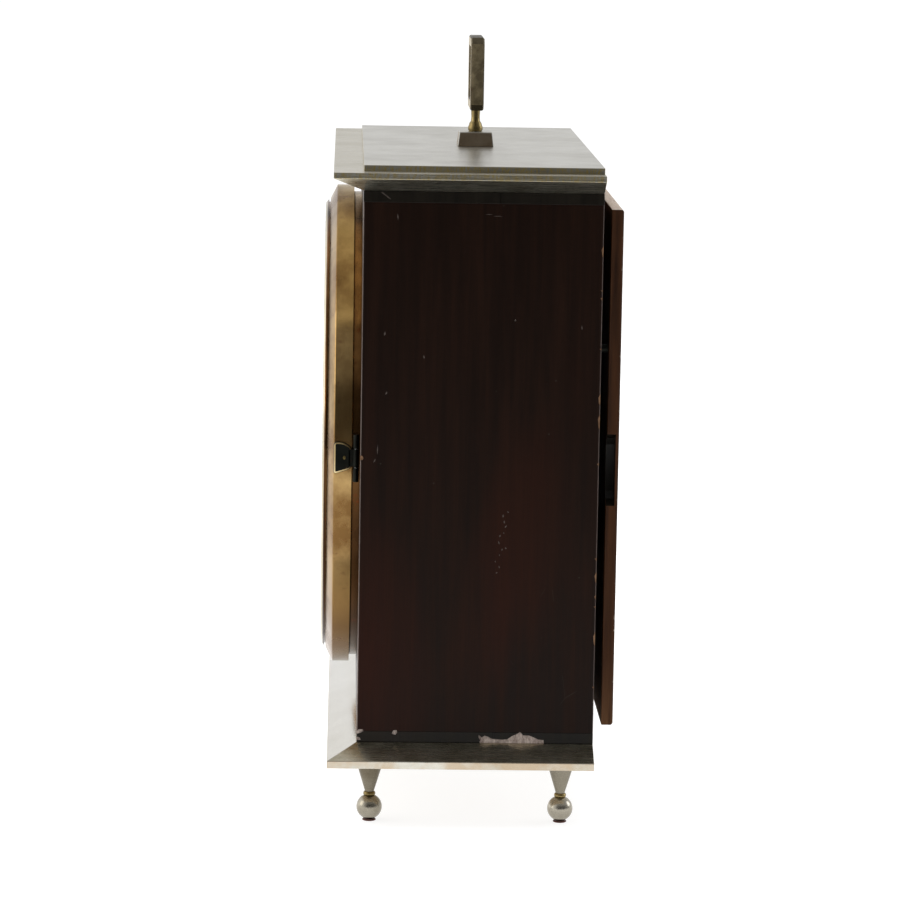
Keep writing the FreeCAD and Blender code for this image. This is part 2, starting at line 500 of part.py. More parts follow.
def gear_points(teeth, module, addendum, dedendum, thickness, phase):
    """Outline of an involute wheel with straight facets, one tooth centred on the phase angle."""
    pressure = math.radians(25)
    pitch_r = teeth * module / 2
    base_r = pitch_r * math.cos(pressure)
    tip_r, root_r = pitch_r + addendum * module, pitch_r - dedendum * module
    half_pitch = thickness * math.pi / teeth
    start = max(base_r, root_r)

    def half_angle(radius):
        """Half the tooth's width, as an angle, at a radius."""
        roll = math.acos(min(1.0, base_r / radius))
        return half_pitch + (math.tan(pressure) - pressure) - (math.tan(roll) - roll)

    radii = [start + (tip_r - start) * step / 3 for step in range(4)]
    side = [(root_r, half_angle(start))] if start > root_r + 1e-6 else []
    side += [(radius, half_angle(radius)) for radius in radii]
    points = []
    for tooth in range(teeth):
        centre = phase + 2 * math.pi * tooth / teeth
        for radius, angle in side:
            points.append((radius, centre - angle))
        for radius, angle in reversed(side):
            points.append((radius, centre + angle))
    return [FreeCAD.Vector(radius * math.cos(angle), radius * math.sin(angle), 0) for radius, angle in points]


def saw_points(teeth, tip_r, root_r, lean):
    """Outline of a pointed escape or ratchet wheel."""
    points = []
    for tooth in range(teeth):
        angle = 2 * math.pi * tooth / teeth
        for radius, turn in ((tip_r, 0), (tip_r, 0.08), (root_r, lean)):
            place = angle + turn * 2 * math.pi / teeth
            points.append(FreeCAD.Vector(radius * math.cos(place), radius * math.sin(place), 0))
    return points


def window(inner_r, outer_r, start, end):
    """Opening between two spokes of a wheel."""
    corners = [FreeCAD.Vector(radius * math.cos(angle), radius * math.sin(angle), 0)
               for radius, angle in ((inner_r, start), (inner_r, (start + end) / 2), (inner_r, end),
                                     (outer_r, end), (outer_r, (start + end) / 2), (outer_r, start))]
    inner = Part.Arc(corners[0], corners[1], corners[2]).toShape()
    outer = Part.Arc(corners[3], corners[4], corners[5]).toShape()
    return Part.Wire([inner, Part.makeLine(corners[2], corners[3]), outer,
                      Part.makeLine(corners[5], corners[0])])


def wheel_solid(points, low, high, spokes=None):
    """Wheel blank of an outline, between two depths, with optional spokes (hub radius, rim radius)."""
    wires = [Part.makePolygon(points + points[:1])]
    if spokes:
        hub_r, rim_r = spokes
        for index in range(5):
            start = 2 * math.pi * index / 5 + 0.16
            wires.append(window(hub_r, rim_r, start, start + 2 * math.pi / 5 - 0.32))
    face = Part.Face(wires)
    face.translate(FreeCAD.Vector(0, 0, low))
    return face.extrude(FreeCAD.Vector(0, 0, high - low))


def bar(radius, low, high):
    """Round length of an arbor between two depths."""
    return Part.makeCylinder(radius, high - low, FreeCAD.Vector(0, 0, low))


def clockwork(label, solids, u, v, hole=None):
    """Joined solids of one arbor, placed on the dial's plane."""
    shape = solids[0].fuse(solids[1:]) if len(solids) > 1 else solids[0]
    if hole:
        shape = shape.cut(hole)
    feature = doc.addObject("Part::Feature", label + "_solid")
    feature.Shape = shape.removeSplitter() if len(shape.Faces) < 200 else shape
    place = FreeCAD.Vector(u, number("Sizes.front_y"), number("Sizes.centre_z") + v)
    feature.Placement = FreeCAD.Placement(place, FRONTWARD)
    return keep(feature, label)


WHEEL = {"addendum": 0.65, "dedendum": 1.05, "thickness": 0.46}
PINION = {"addendum": 0.8, "dedendum": 0.9, "thickness": 0.40}


def wheel_points(teeth, module, phase):
    """Outline of a wheel."""
    return gear_points(teeth, module, WHEEL["addendum"], WHEEL["dedendum"], WHEEL["thickness"], phase)


def pinion_points(teeth, module, towards):
    """Outline of a pinion with a gap facing the wheel that drives it."""
    return gear_points(teeth, module, PINION["addendum"], PINION["dedendum"], PINION["thickness"],
                       towards + math.pi / teeth)


def build_train():
    """Wheels between the plates: barrel, intermediate, centre, third and escape."""
    front = number("Sizes.front_plate_face")
    inside = front - number("Sizes.plate_thick")
    rear = inside - number("Sizes.plate_room")
    back = rear - number("Sizes.plate_thick")
    pivot, shaft = number("Sizes.pivot_r"), number("Sizes.shaft_r")
    barrel = (0, number("Sizes.barrel_v"))
    middle = (number("Sizes.middle_u"), number("Sizes.middle_v"))
    third = (number("Sizes.third_u"), number("Sizes.third_v"))
    escape = (0, number("Sizes.escape_v"))

    def towards(start, end):
        """Direction from one arbor to another."""
        return math.atan2(end[1] - start[1], end[0] - start[0])

    def arbor():
        """Shaft with two pivots reaching into the plates."""
        return [bar(shaft, rear + 0.4, inside - 0.4), bar(pivot, back + 0.2, front - 0.2)]

    centre = (0, 0)
    drum_r, wall = number("Sizes.barrel_r"), number("Sizes.barrel_wall")
    bore = number("Sizes.barrel_pivot") + number("Sizes.pivot_play")
    great = wheel_solid(wheel_points(72, 0.7, towards(barrel, middle)), inside - 4, inside - 2)
    drum = bar(drum_r, inside - 18, inside - 4).cut(bar(drum_r - wall, inside - 19, inside - 5))
    clockwork("spring_barrel", [great, drum], *barrel, hole=bar(bore, inside - 20, inside))
    cover = bar(drum_r - wall - 0.02, inside - 18, inside - 17)
    clockwork("barrel_cover", [cover], *barrel, hole=bar(bore, inside - 20, inside))
    clockwork("mainspring", [spring_solid(inside - 16.4, inside - 6)], *barrel)
    pivot_r = number("Sizes.barrel_pivot")
    square = number("Sizes.square")
    end = number("Sizes.square_front")
    squared = Part.makeBox(square, square, end + 6, FreeCAD.Vector(-square / 2, -square / 2, -6))
    clockwork("barrel_arbor", [bar(number("Sizes.barrel_arbor_r"), inside - 16.6, inside - 5.3),
                               bar(pivot_r, back - 2.6, -5), squared], *barrel)
    ratchet = wheel_solid(saw_points(24, number("Sizes.ratchet_r"), number("Sizes.ratchet_root"), 0.9),
                          back - 1.8, back - 0.3)
    clockwork("ratchet_wheel", [ratchet], *barrel, hole=bar(pivot_r, back - 3, back))
    pinion = wheel_solid(pinion_points(12, 0.7, towards(middle, barrel)), inside - 4.5, inside - 1.5)
    wheel = wheel_solid(wheel_points(72, 0.5, towards(middle, centre)), inside - 21, inside - 19.5, (3.4, 15.0))
    clockwork("intermediate_wheel", arbor() + [pinion, wheel], *middle)
    pinion = wheel_solid(pinion_points(12, 0.5, towards(centre, middle)), inside - 22, inside - 19)
    wheel = wheel_solid(wheel_points(96, 0.4, towards(centre, third)), inside - 23.3, inside - 22.3, (3.8, 16.2))
    long_arbor = [bar(number("Sizes.centre_arbor_r"), rear + 0.4, 7.3), bar(pivot, back + 0.2, rear + 1)]
    clockwork("centre_wheel", long_arbor + [pinion, wheel], *centre)
    pinion = wheel_solid(pinion_points(8, 0.4, towards(third, centre)), inside - 23.6, inside - 22)
    wheel = wheel_solid(wheel_points(100, 0.35, towards(third, escape)), inside - 11, inside - 10, (3.0, 15.0))
    thin = [bar(1.0, rear + 0.4, inside - 0.4), bar(pivot, back + 0.2, front - 0.2)]
    clockwork("third_wheel", thin + [pinion, wheel], *third)
    pinion = wheel_solid(pinion_points(8, 0.35, towards(escape, third)), inside - 11.6, inside - 9.4)
    wheel = wheel_solid(saw_points(36, number("Sizes.escape_r"), 11.3, 0.7), inside - 5, inside - 4, (2.6, 9.8))
    clockwork("escape_wheel", [bar(0.9, rear + 0.4, inside - 0.4), bar(pivot, back + 0.2, front - 0.2),
                               pinion, wheel], *escape)


def spring_solid(low, high):
    """Wound mainspring: a flat strip in a spiral."""
    turns, inner_r, outer_r, strip = 7, 5.2, 22.2, 0.5
    steps = turns * 20
    path = []
    for step in range(steps + 1):
        radius = inner_r + (outer_r - inner_r) * step / steps
        angle = 2 * math.pi * turns * step / steps
        path.append((radius, angle))
    points = [FreeCAD.Vector(r * math.cos(a), r * math.sin(a), 0) for r, a in path]
    points += [FreeCAD.Vector((r + strip) * math.cos(a), (r + strip) * math.sin(a), 0)
               for r, a in reversed(path)]
    return wheel_solid(points, low, high)


def build_motion_work():
    """Cannon pinion, minute wheel, hour wheel and the two hands."""
    minute = (number("Sizes.minute_u"), number("Sizes.minute_v"))
    away = math.atan2(minute[1], minute[0])
    cannon = wheel_solid(pinion_points(12, 0.5, away), -7, -4.5)
    pipe_r = number("Sizes.cannon_r")
    hand_front = number("Sizes.minute_hand_out") + number("Sizes.hand_thick")
    clockwork("cannon_pinion", [cannon, bar(pipe_r, -7.6, hand_front)], 0, 0,
              hole=bar(number("Sizes.cannon_bore"), -9, 12))
    back_to = away + math.pi
    wheel = wheel_solid(wheel_points(36, 0.5, back_to), -6.5, -5.2)
    pinion = wheel_solid(pinion_points(10, 0.48, back_to), -5.3, -1.8)
    clockwork("minute_wheel", [wheel, pinion], *minute, hole=bar(number("Sizes.stud_r") + 0.06, -9, 0))
    hour_front = number("Sizes.hour_hand_out") + number("Sizes.hand_thick")
    wheel = wheel_solid(wheel_points(40, 0.48, away), -3.8, -2.6)
    clockwork("hour_wheel", [wheel, bar(number("Sizes.hour_pipe"), -3.8, hour_front)], 0, 0,
              hole=bar(number("Sizes.hour_bore"), -9, 12))
    hands = (("hour_hand", "Sizes.hour_hand_out", "Sizes.hour_hand", "Sizes.hour_pipe", 145, 4.4, 2.6, 9),
             ("minute_hand", "Sizes.minute_hand_out", "Sizes.minute_hand", "Sizes.cannon_r", 30, 3.6, 1.9, 14))
    for label, out, length, bore, angle, hub_r, wide, tail in hands:
        reach = number(length)
        blade = [(-tail, -wide * 0.45), (hub_r, -wide * 0.5), (reach * 0.6, -wide), (reach * 0.78, -wide * 0.4),
                 (reach, 0), (reach * 0.78, wide * 0.4), (reach * 0.6, wide), (hub_r, wide * 0.5),
                 (-tail, wide * 0.45)]
        points = [FreeCAD.Vector(x, y, 0) for x, y in blade]
        low = number(out)
        high = low + number("Sizes.hand_thick")
        solid = wheel_solid(points, low, high)
        solid.rotate(FreeCAD.Vector(0, 0, 0), FreeCAD.Vector(0, 0, 1), angle)
        clockwork(label, [solid, bar(hub_r, low, high)], 0, 0, hole=bar(number(bore), low - 1, high + 1))
    keep(turned("nut_cap", [("0", hand_end(0)), ("2.6", hand_end(0)), ("2.6", hand_end(0.9)),
                            ("1.6", hand_end(1.6)), ("0", hand_end(1.8))], DIAL_BASE, FRONTWARD), "hand_nut")


def hand_end(extra):
    """Depth a little in front of the minute hand."""
    return "Sizes.minute_hand_out + Sizes.hand_thick + %s" % extra


def build_frame():
    """Movement plates, pillars, straps, back cock and suspension strip."""
    outline = rectangle("-Sizes.plate_half", "Sizes.plate_half", "Sizes.plate_down", "Sizes.plate_up")
    small = "Sizes.pivot_r + Sizes.pivot_play"
    arbors = [("Sizes.middle_u", "Sizes.middle_v", small), ("Sizes.third_u", "Sizes.third_v", small),
              ("0", "Sizes.escape_v", small), ("0", "Sizes.pallet_v", small),
              ("0", "Sizes.barrel_v", "Sizes.barrel_pivot + Sizes.pivot_play")]
    front = sheet_part("front_plate", [outline], arbors + [("0", "0", "Sizes.centre_arbor_r + Sizes.pivot_play")],
                       "Sizes.plate_thick", dial_base("Sizes.front_plate_face - Sizes.plate_thick"))
    stud = rod("minute_stud", "Sizes.stud_r", "6.4", dial_base("Sizes.front_plate_face", "Sizes.minute_u",
                                                               "Sizes.minute_v"), FRONTWARD)
    keep(fused("front_plate_whole", [front, stud]), "movement_front_plate")
    behind = "Sizes.front_plate_face - 2 * Sizes.plate_thick - Sizes.plate_room"
    keep(sheet_part("back_plate", [outline], arbors + [("0", "0", small)], "Sizes.plate_thick",
                    dial_base(behind)), "movement_back_plate")
    pillars = []
    for index, (u, v) in enumerate((("-Sizes.pillar_x", "Sizes.pillar_up"), ("Sizes.pillar_x",
                                    "Sizes.pillar_up"), ("-Sizes.pillar_x", "Sizes.pillar_down"),
                                    ("Sizes.pillar_x", "Sizes.pillar_down"))):
        pillars.append(rod("pillar_%d" % index, "Sizes.pillar_r", "Sizes.plate_room",
                           dial_base(behind + " + Sizes.plate_thick", u, v), FRONTWARD))
    keep(grouped("pillars", pillars), "plate_pillars")
    straps, screws = [], []
    for index, (level, half) in enumerate((("Sizes.strap_up", "Sizes.strap_up_half"),
                                           ("Sizes.strap_down", "Sizes.strap_down_half"))):
        bar_outline = rectangle("-" + half, half, "%s - Sizes.strap_wide / 2" % level,
                                "%s + Sizes.strap_wide / 2" % level)
        straps.append(sheet_part("strap_%d" % index, [bar_outline], [], "Sizes.strap_thick",
                                 dial_base("-Sizes.front_wall - Sizes.strap_thick")))
        for side in ("-", ""):
            profile = [("0", "0"), ("Sizes.screw_head", "0"), ("Sizes.screw_head", "1.2"),
                       ("Sizes.screw_r", "1.2"), ("Sizes.screw_r", "3.2 + Sizes.screw_in"),
                       ("0", "3.2 + Sizes.screw_in")]
            place = ("%s(%s - 5)" % (side, half), level)
            screws.append(turned("strap_screw_%d%s" % (index, "l" if side else "r"), profile,
                                 dial_base("-Sizes.front_wall - Sizes.strap_thick - 1.2", *place), FRONTWARD))
    keep(grouped("straps", straps), "mounting_straps")
    keep(grouped("strap_screws_all", screws), "strap_screws")
    foot = sheet_part("cock_foot", [rectangle("-9", "9", "54.6", "60")], [], "1.5", dial_base(behind + " - 1.5"))
    arm = sheet_part("cock_arm", [rectangle("-3", "3", "56", "60")], [], "8.6", dial_base(behind + " - 9.4"))
    keep(fused("cock", [foot, arm]), "back_cock")
    keep(sheet_part("strip", [rectangle("-1.6", "1.6", "51.9", "56")], [], "0.3",
                    dial_base("Sizes.rod_out - 0.15")), "suspension_strip")


def build_escapement():
    """Anchor with its crutch, click, and the pendulum."""
    behind = number("Sizes.front_plate_face - 2 * Sizes.plate_thick - Sizes.plate_room")
    inside = number("Sizes.front_plate_face - Sizes.plate_thick")
    pallet_v, escape_v = number("Sizes.pallet_v"), number("Sizes.escape_v")
    reach = pallet_v - escape_v
    clear_r = number("Sizes.pallet_r")
    outline = []
    for radius, degrees in ((clear_r, -47), (clear_r, -41), (clear_r + 2.2, -38), (reach - 1.2, -14),
                            (reach - 1.6, 0), (reach - 1.2, 14), (clear_r + 2.2, 38), (clear_r, 41),
                            (clear_r, 47), (clear_r + 4.2, 46), (reach + 1.6, 16), (reach + 2.2, 0),
                            (reach + 1.6, -16), (clear_r + 4.2, -46)):
        angle = math.radians(degrees)
        outline.append(FreeCAD.Vector(radius * math.sin(angle), radius * math.cos(angle) - reach, 0))
    anchor = wheel_solid(outline, inside - 5.6, inside - 3.4)
    arbor = [bar(1.0, behind + 2.4, inside - 0.4), bar(number("Sizes.pivot_r"), behind - 3.2, inside + 1.8)]
    out = number("Sizes.crutch_out")
    arm = Part.makeBox(1.6, 22.4, 0.8, FreeCAD.Vector(-0.8, -21.6, out - 0.4))
    hub = bar(2.0, out - 0.4, out + 0.6)
    bridge = Part.makeBox(4.4, 1.6, 0.8, FreeCAD.Vector(-2.2, -22.4, out - 0.4))
    prongs = [Part.makeBox(0.8, 1.6, 5.4, FreeCAD.Vector(u, -22.4, out - 5.6)) for u in (-2.2, 1.4)]
    clockwork("pallet_anchor", [anchor, arm, hub, bridge] + arbor + prongs, 0, pallet_v)
    tip = number("Sizes.ratchet_r") + 0.25
    click = [(-1.6, -2.2), (1.8, -1.8), (2.0, 1.8), (-1.2, 2.6), (-7.6, 1.2), (-7.9, 0.2)]
    solid = wheel_solid([FreeCAD.Vector(x, y, 0) for x, y in click], behind - 1.8, behind - 0.3)
    screw = bar(1.1, behind - 2.6, behind - 0.3)
    clockwork("click", [solid, screw], 8.4, number("Sizes.barrel_v") + tip + 0.4)
    rod_out, bob_v = number("Sizes.rod_out"), number("Sizes.bob_v")
    rod_r, half = number("Sizes.rod_r"), number("Sizes.bob_thick") / 2
    length = pallet_v - 0.8 - (bob_v - 22)
    stick = Part.makeCylinder(rod_r, length, FreeCAD.Vector(0, bob_v - 22, rod_out), FreeCAD.Vector(0, 1, 0))
    clockwork("pendulum_rod", [stick], 0, 0)
    bob_r = number("Sizes.bob_r")
    lens = Part.makeCylinder(bob_r, 2 * half, FreeCAD.Vector(0, bob_v, rod_out - half))
    lens = lens.makeFillet(half * 0.8, [edge for edge in lens.Edges if len(edge.Vertexes) == 1])
    tunnel = Part.makeCylinder(rod_r + 0.05, 40, FreeCAD.Vector(0, bob_v - 20, rod_out), FreeCAD.Vector(0, 1, 0))
    clockwork("pendulum_bob", [lens], 0, 0, hole=tunnel)
    nut = Part.makeCylinder(2.4, 2.4, FreeCAD.Vector(0, bob_v - bob_r - 2.6, rod_out), FreeCAD.Vector(0, 1, 0))
    clockwork("rating_nut", [nut], 0, 0, hole=tunnel)


def check(thing):
    """Stop on anything that did not build cleanly."""
    if "Invalid" in thing.State or "Error" in thing.State:
        raise RuntimeError("%s: %s" % (thing.Label, thing.State))
    shape = getattr(thing, "Shape", None)
    if shape is not None and (shape.isNull() or not shape.isValid()) and thing in NODES:
        raise RuntimeError("%s has a broken shape" % thing.Label)


build_case()
build_plates()
build_feet()
build_handle()
build_bezel()
build_door()
build_train()
build_motion_work()
build_frame()
build_escapement()
doc.recompute()
for item in doc.Objects:
    check(item)
os.makedirs("parts", exist_ok=True)
for node in NODES:
    node.Shape.exportStep("parts/%s.step" % node.Label)
    box = node.Shape.BoundBox
    print("%-26s X %7.2f %7.2f  Y %7.2f %7.2f  Z %7.2f %7.2f  solids %d  volume %.1f" % (
        node.Label, box.XMin, box.XMax, box.YMin, box.YMax, box.ZMin, box.ZMax, len(node.Shape.Solids),
        node.Shape.Volume))
print(len(NODES), "sub-parts")
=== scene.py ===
import logging
import math
import random
from dataclasses import dataclass, field
from enum import Enum
from typing import Iterable, Sequence

import bmesh
import bpy
from bpy.types import Material, Node, NodeSocket, NodeTree, Object
from mathutils import Matrix, Vector


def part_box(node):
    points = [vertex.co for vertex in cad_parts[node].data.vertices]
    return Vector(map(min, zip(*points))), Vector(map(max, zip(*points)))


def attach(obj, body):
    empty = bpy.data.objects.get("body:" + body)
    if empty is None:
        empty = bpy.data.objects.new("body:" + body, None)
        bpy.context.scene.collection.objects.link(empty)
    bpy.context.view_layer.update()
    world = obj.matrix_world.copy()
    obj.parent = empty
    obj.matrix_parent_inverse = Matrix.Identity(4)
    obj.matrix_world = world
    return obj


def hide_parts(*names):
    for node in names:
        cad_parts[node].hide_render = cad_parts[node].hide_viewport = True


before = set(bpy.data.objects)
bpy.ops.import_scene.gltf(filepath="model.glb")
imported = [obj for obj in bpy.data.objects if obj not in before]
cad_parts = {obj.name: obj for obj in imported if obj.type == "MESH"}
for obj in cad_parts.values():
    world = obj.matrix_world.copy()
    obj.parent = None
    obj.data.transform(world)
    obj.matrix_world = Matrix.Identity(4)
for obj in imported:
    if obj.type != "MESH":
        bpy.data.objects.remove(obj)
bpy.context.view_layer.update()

MM = 0.001
log = logging.getLogger("mantel_clock")

# Corners of a flat shape, or points of a half profile.
Outline = Sequence[tuple[float, float]]

# Settings of the mixing and maths nodes.
BLEND = {"data_type": "RGBA"}
SHADE = {"data_type": "RGBA", "blend_type": "MULTIPLY"}
TIMES = {"operation": "MULTIPLY"}
PLUS = {"operation": "ADD"}
MINUS = {"operation": "SUBTRACT"}
SIZE_OF = {"operation": "ABSOLUTE"}
LARGER = {"operation": "MAXIMUM"}


class Way(Enum):
    """Directions that an outline can be drawn across and a lathe can turn about."""

    UP = "up"
    FRONT = "front"
    SIDE = "side"


@dataclass(frozen=True)
class Extent:
    """Corners of one or more CAD nodes at rest, in millimetres."""

    low: Vector
    high: Vector

    @classmethod
    def of(cls, *nodes: str) -> "Extent":
        """Measure CAD nodes.

        Args:
            nodes: Names of the nodes.

        Returns:
            The box that holds them all.
        """
        boxes = [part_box(node) for node in nodes]
        low = Vector(min(box[0][axis] for box in boxes) for axis in range(3))
        high = Vector(max(box[1][axis] for box in boxes) for axis in range(3))
        return cls(low / MM, high / MM)

    @property
    def middle(self) -> Vector:
        """Centre of the box."""
        return (self.low + self.high) / 2


def linear(code: str, alpha: float = 1.0) -> tuple[float, float, float, float]:
    """Turn an sRGB hex colour into linear values.

    Args:
        code: Six hex digits.
        alpha: Opacity.

    Returns:
        Linear red, green, blue and the opacity.
    """
    parts = [int(code[index:index + 2], 16) / 255 for index in (0, 2, 4)]
    red, green, blue = [part / 12.92 if part <= 0.04045 else ((part + 0.055) / 1.055) ** 2.4
                        for part in parts]
    return red, green, blue, alpha


def per_mm(size: float) -> float:
    """Pattern scale whose features are about so many millimetres."""
    return 1 / (size * MM)


def plug(tree: NodeTree, socket: NodeSocket, value: object) -> None:
    """Give an input its constant, its colour or its link.

    Args:
        tree: Node tree of the input.
        socket: The input.
        value: A constant, a hex colour, an output, or a node, which is linked from its first output in use.
    """
    if isinstance(value, Node):
        value = next(item for item in value.outputs if item.enabled)
    if isinstance(value, NodeSocket):
        tree.links.new(value, socket)
    else:
        socket.default_value = linear(value) if isinstance(value, str) else value


def add(tree: NodeTree, kind: str, settings: dict | None = None, **fills: object) -> Node:
    """Add one node with its settings, values and links.

    Args:
        tree: Node tree that takes it.
        kind: Node type without its ShaderNode prefix.
        settings: Properties of the node.
        fills: What plug puts into its inputs, by name with an underscore for each space, or by at0, at1
            and so on where inputs share a name.

    Returns:
        The node.
    """
    made = tree.nodes.new("ShaderNode" + kind)
    for key, value in (settings or {}).items():
        setattr(made, key, value)
    live = [socket for socket in made.inputs if socket.enabled]
    for key, value in fills.items():
        if key[:2] == "at" and key[2:].isdigit():
            socket = live[int(key[2:])]
        else:
            socket = next(item for item in live if item.name == key.replace("_", " "))
        plug(tree, socket, value)
    return made


@dataclass(frozen=True)
class Finish:
    """A surface finish. Each kind draws its own node tree behind one shader."""

    name: str

    def build(self) -> Material:
        """Make the material.

        Returns:
            The finished material.
        """
        material = bpy.data.materials.new(self.name)
        material.use_nodes = True
        tree = material.node_tree
        tree.nodes.clear()
        place = add(tree, "TexCoord").outputs["Object"]
        add(tree, "OutputMaterial", Surface=self.dress(tree, place))
        return material

    def dress(self, tree: NodeTree, place: NodeSocket) -> Node:
        """Draw the finish.

        Args:
            tree: Node tree of the material.
            place: Position on the object.

        Returns:
            The shader, with its colour, roughness and relief.
        """
        raise NotImplementedError


@dataclass(frozen=True)
class LacqueredVeneer(Finish):
    """Mahogany veneer under old satin lacquer: close vertical grain, broad redder figure, faint hairlines."""

    dark: str = "180d08"
    warm: str = "211109"
    red: str = "2f1207"
    scratch: str = "3d3a34"
    figure_mm: float = 3.6
    pore_mm: float = 0.5
    gloss: float = 0.34
    shine: float = 0.085
    relief: float = 0.12

    def dress(self, tree: NodeTree, place: NodeSocket) -> Node:
        """Grain along the height, with pores that catch the light and a few old scratches.

        Args:
            tree: Node tree of the material.
            place: Position on the object.

        Returns:
            The shader.
        """
        along = add(tree, "Mapping", Vector=place, Scale=(1.0, 1.0, 0.045))
        figure = add(tree, "TexNoise", Vector=along, Scale=per_mm(self.figure_mm), Detail=5.0, Roughness=0.62,
                     Distortion=0.6)
        tone = add(tree, "MapRange", Value=figure, From_Min=0.38, From_Max=0.66)
        base = add(tree, "Mix", BLEND, Factor=tone, A=self.dark, B=self.warm)
        broad = add(tree, "TexNoise", Vector=add(tree, "Mapping", Vector=place, Scale=(1.0, 1.0, 0.3)),
                    Scale=per_mm(42.0), Detail=2.0)
        glow = add(tree, "MapRange", Value=broad, From_Min=0.50, From_Max=0.72, To_Max=0.7)
        redder = add(tree, "Mix", BLEND, Factor=glow, A=base, B=self.red)
        pores = add(tree, "TexNoise", Vector=add(tree, "Mapping", Vector=place, Scale=(1.0, 1.0, 0.02)),
                    Scale=per_mm(self.pore_mm), Detail=3.0, Roughness=0.7)
        pitted = add(tree, "MapRange", Value=pores, From_Min=0.35, From_Max=0.62, To_Min=0.8, To_Max=1.0)
        grained = add(tree, "Mix", SHADE, Factor=1.0, A=redder,
                      B=pitted)
        scratches = self.hairlines(tree, place)
        marked = add(tree, "Mix", BLEND, Factor=scratches, A=grained, B=self.scratch)
        rough = add(tree, "MapRange", Value=figure, From_Min=0.3, From_Max=0.7, To_Min=self.gloss - 0.04,
                    To_Max=self.gloss + 0.07)
        relief = add(tree, "Bump", Strength=self.relief, Distance=0.00006, Height=pores)
        return add(tree, "BsdfPrincipled", Base_Color=marked, Roughness=rough, Normal=relief,
                   Specular_IOR_Level=self.shine)

    def hairlines(self, tree: NodeTree, place: NodeSocket) -> Node:
        """Draw a few thin scratches and dust specks, about a quarter of a millimetre wide.

        Args:
            tree: Node tree of the material.
            place: Position on the object.

        Returns:
            A node that is above zero on the marks only.
        """
        slanted = add(tree, "Mapping", Vector=place, Rotation=(0.9, 0.35, 0.2), Scale=(1.0, 1.6, 0.7))
        cells = add(tree, "TexVoronoi", {"feature": "DISTANCE_TO_EDGE"}, Vector=slanted, Scale=per_mm(31.0),
                    Randomness=1.0)
        line = add(tree, "MapRange", Value=cells, From_Min=0.0, From_Max=0.004, To_Min=1.0, To_Max=0.0)
        patches = add(tree, "TexNoise", Vector=place, Scale=per_mm(13.0), Detail=1.0)
        here = add(tree, "MapRange", Value=patches, From_Min=0.69, From_Max=0.73, To_Max=0.5)
        strokes = add(tree, "Math", TIMES, at0=line, at1=here)
        dots = add(tree, "TexVoronoi", Vector=place, Scale=per_mm(11.0), Randomness=1.0)
        speck = add(tree, "MapRange", Value=dots, From_Min=0.02, From_Max=0.035, To_Min=0.45, To_Max=0.0)
        return add(tree, "Math", LARGER, at0=strokes, at1=speck)


@dataclass(frozen=True)
class WornBoard(Finish):
    """Stained hardwood board rubbed thin: redder, drier and paler at its handled edges."""

    dark: str = "26160d"
    warm: str = "452a18"
    worn: str = "6f4f35"
    worn_span: tuple[float, float] = (36.0, 60.0)

    def dress(self, tree: NodeTree, place: NodeSocket) -> Node:
        """Vertical grain, streaks, and a rubbed low end.

        Args:
            tree: Node tree of the material.
            place: Position on the object.

        Returns:
            The shader.
        """
        streak = add(tree, "TexNoise", Vector=add(tree, "Mapping", Vector=place, Scale=(1.0, 1.0, 0.05)),
                     Scale=per_mm(3.2), Detail=6.0, Roughness=0.6, Distortion=0.3)
        tone = add(tree, "MapRange", Value=streak, From_Min=0.34, From_Max=0.66)
        base = add(tree, "Mix", BLEND, Factor=tone, A=self.dark, B=self.warm)
        height = add(tree, "SeparateXYZ", Vector=place).outputs["Z"]
        rubbed = add(tree, "MapRange", Value=height, From_Min=self.worn_span[0] * MM,
                     From_Max=self.worn_span[1] * MM, To_Min=0.75, To_Max=0.0)
        blotch = add(tree, "TexNoise", Vector=place, Scale=per_mm(16.0), Detail=4.0)
        spots = add(tree, "MapRange", Value=blotch, From_Min=0.60, From_Max=0.80, To_Max=0.25)
        mask = add(tree, "Math", LARGER, at0=rubbed, at1=spots)
        broken = add(tree, "Math", TIMES, at0=mask, at1=tone)
        colour = add(tree, "Mix", BLEND, Factor=broken, A=base, B=self.worn)
        rough = add(tree, "MapRange", Value=streak, From_Min=0.3, From_Max=0.7, To_Min=0.42, To_Max=0.6)
        relief = add(tree, "Bump", Strength=0.2, Distance=0.0001, Height=streak)
        return add(tree, "BsdfPrincipled", Base_Color=colour, Roughness=rough, Normal=relief,
                   Specular_IOR_Level=0.07)


@dataclass(frozen=True)
class BareGround(Finish):
    """Dry wood and old glue where veneer has broken away: pale pinkish grey, matt and fibrous."""

    pale: str = "cbbcb2"
    shade: str = "75625a"

    def dress(self, tree: NodeTree, place: NodeSocket) -> Node:
        """Short fibres and blotches.

        Args:
            tree: Node tree of the material.
            place: Position on the object.

        Returns:
            The shader.
        """
        fibres = add(tree, "TexNoise", Vector=add(tree, "Mapping", Vector=place, Scale=(1.0, 1.0, 0.4)),
                     Scale=per_mm(0.8), Detail=6.0, Roughness=0.75)
        tone = add(tree, "MapRange", Value=fibres, From_Min=0.35, From_Max=0.62)
        colour = add(tree, "Mix", BLEND, Factor=tone, A=self.shade, B=self.pale)
        relief = add(tree, "Bump", Strength=0.5, Distance=0.0002, Height=fibres)
        return add(tree, "BsdfPrincipled", Base_Color=colour, Roughness=0.85, Normal=relief)


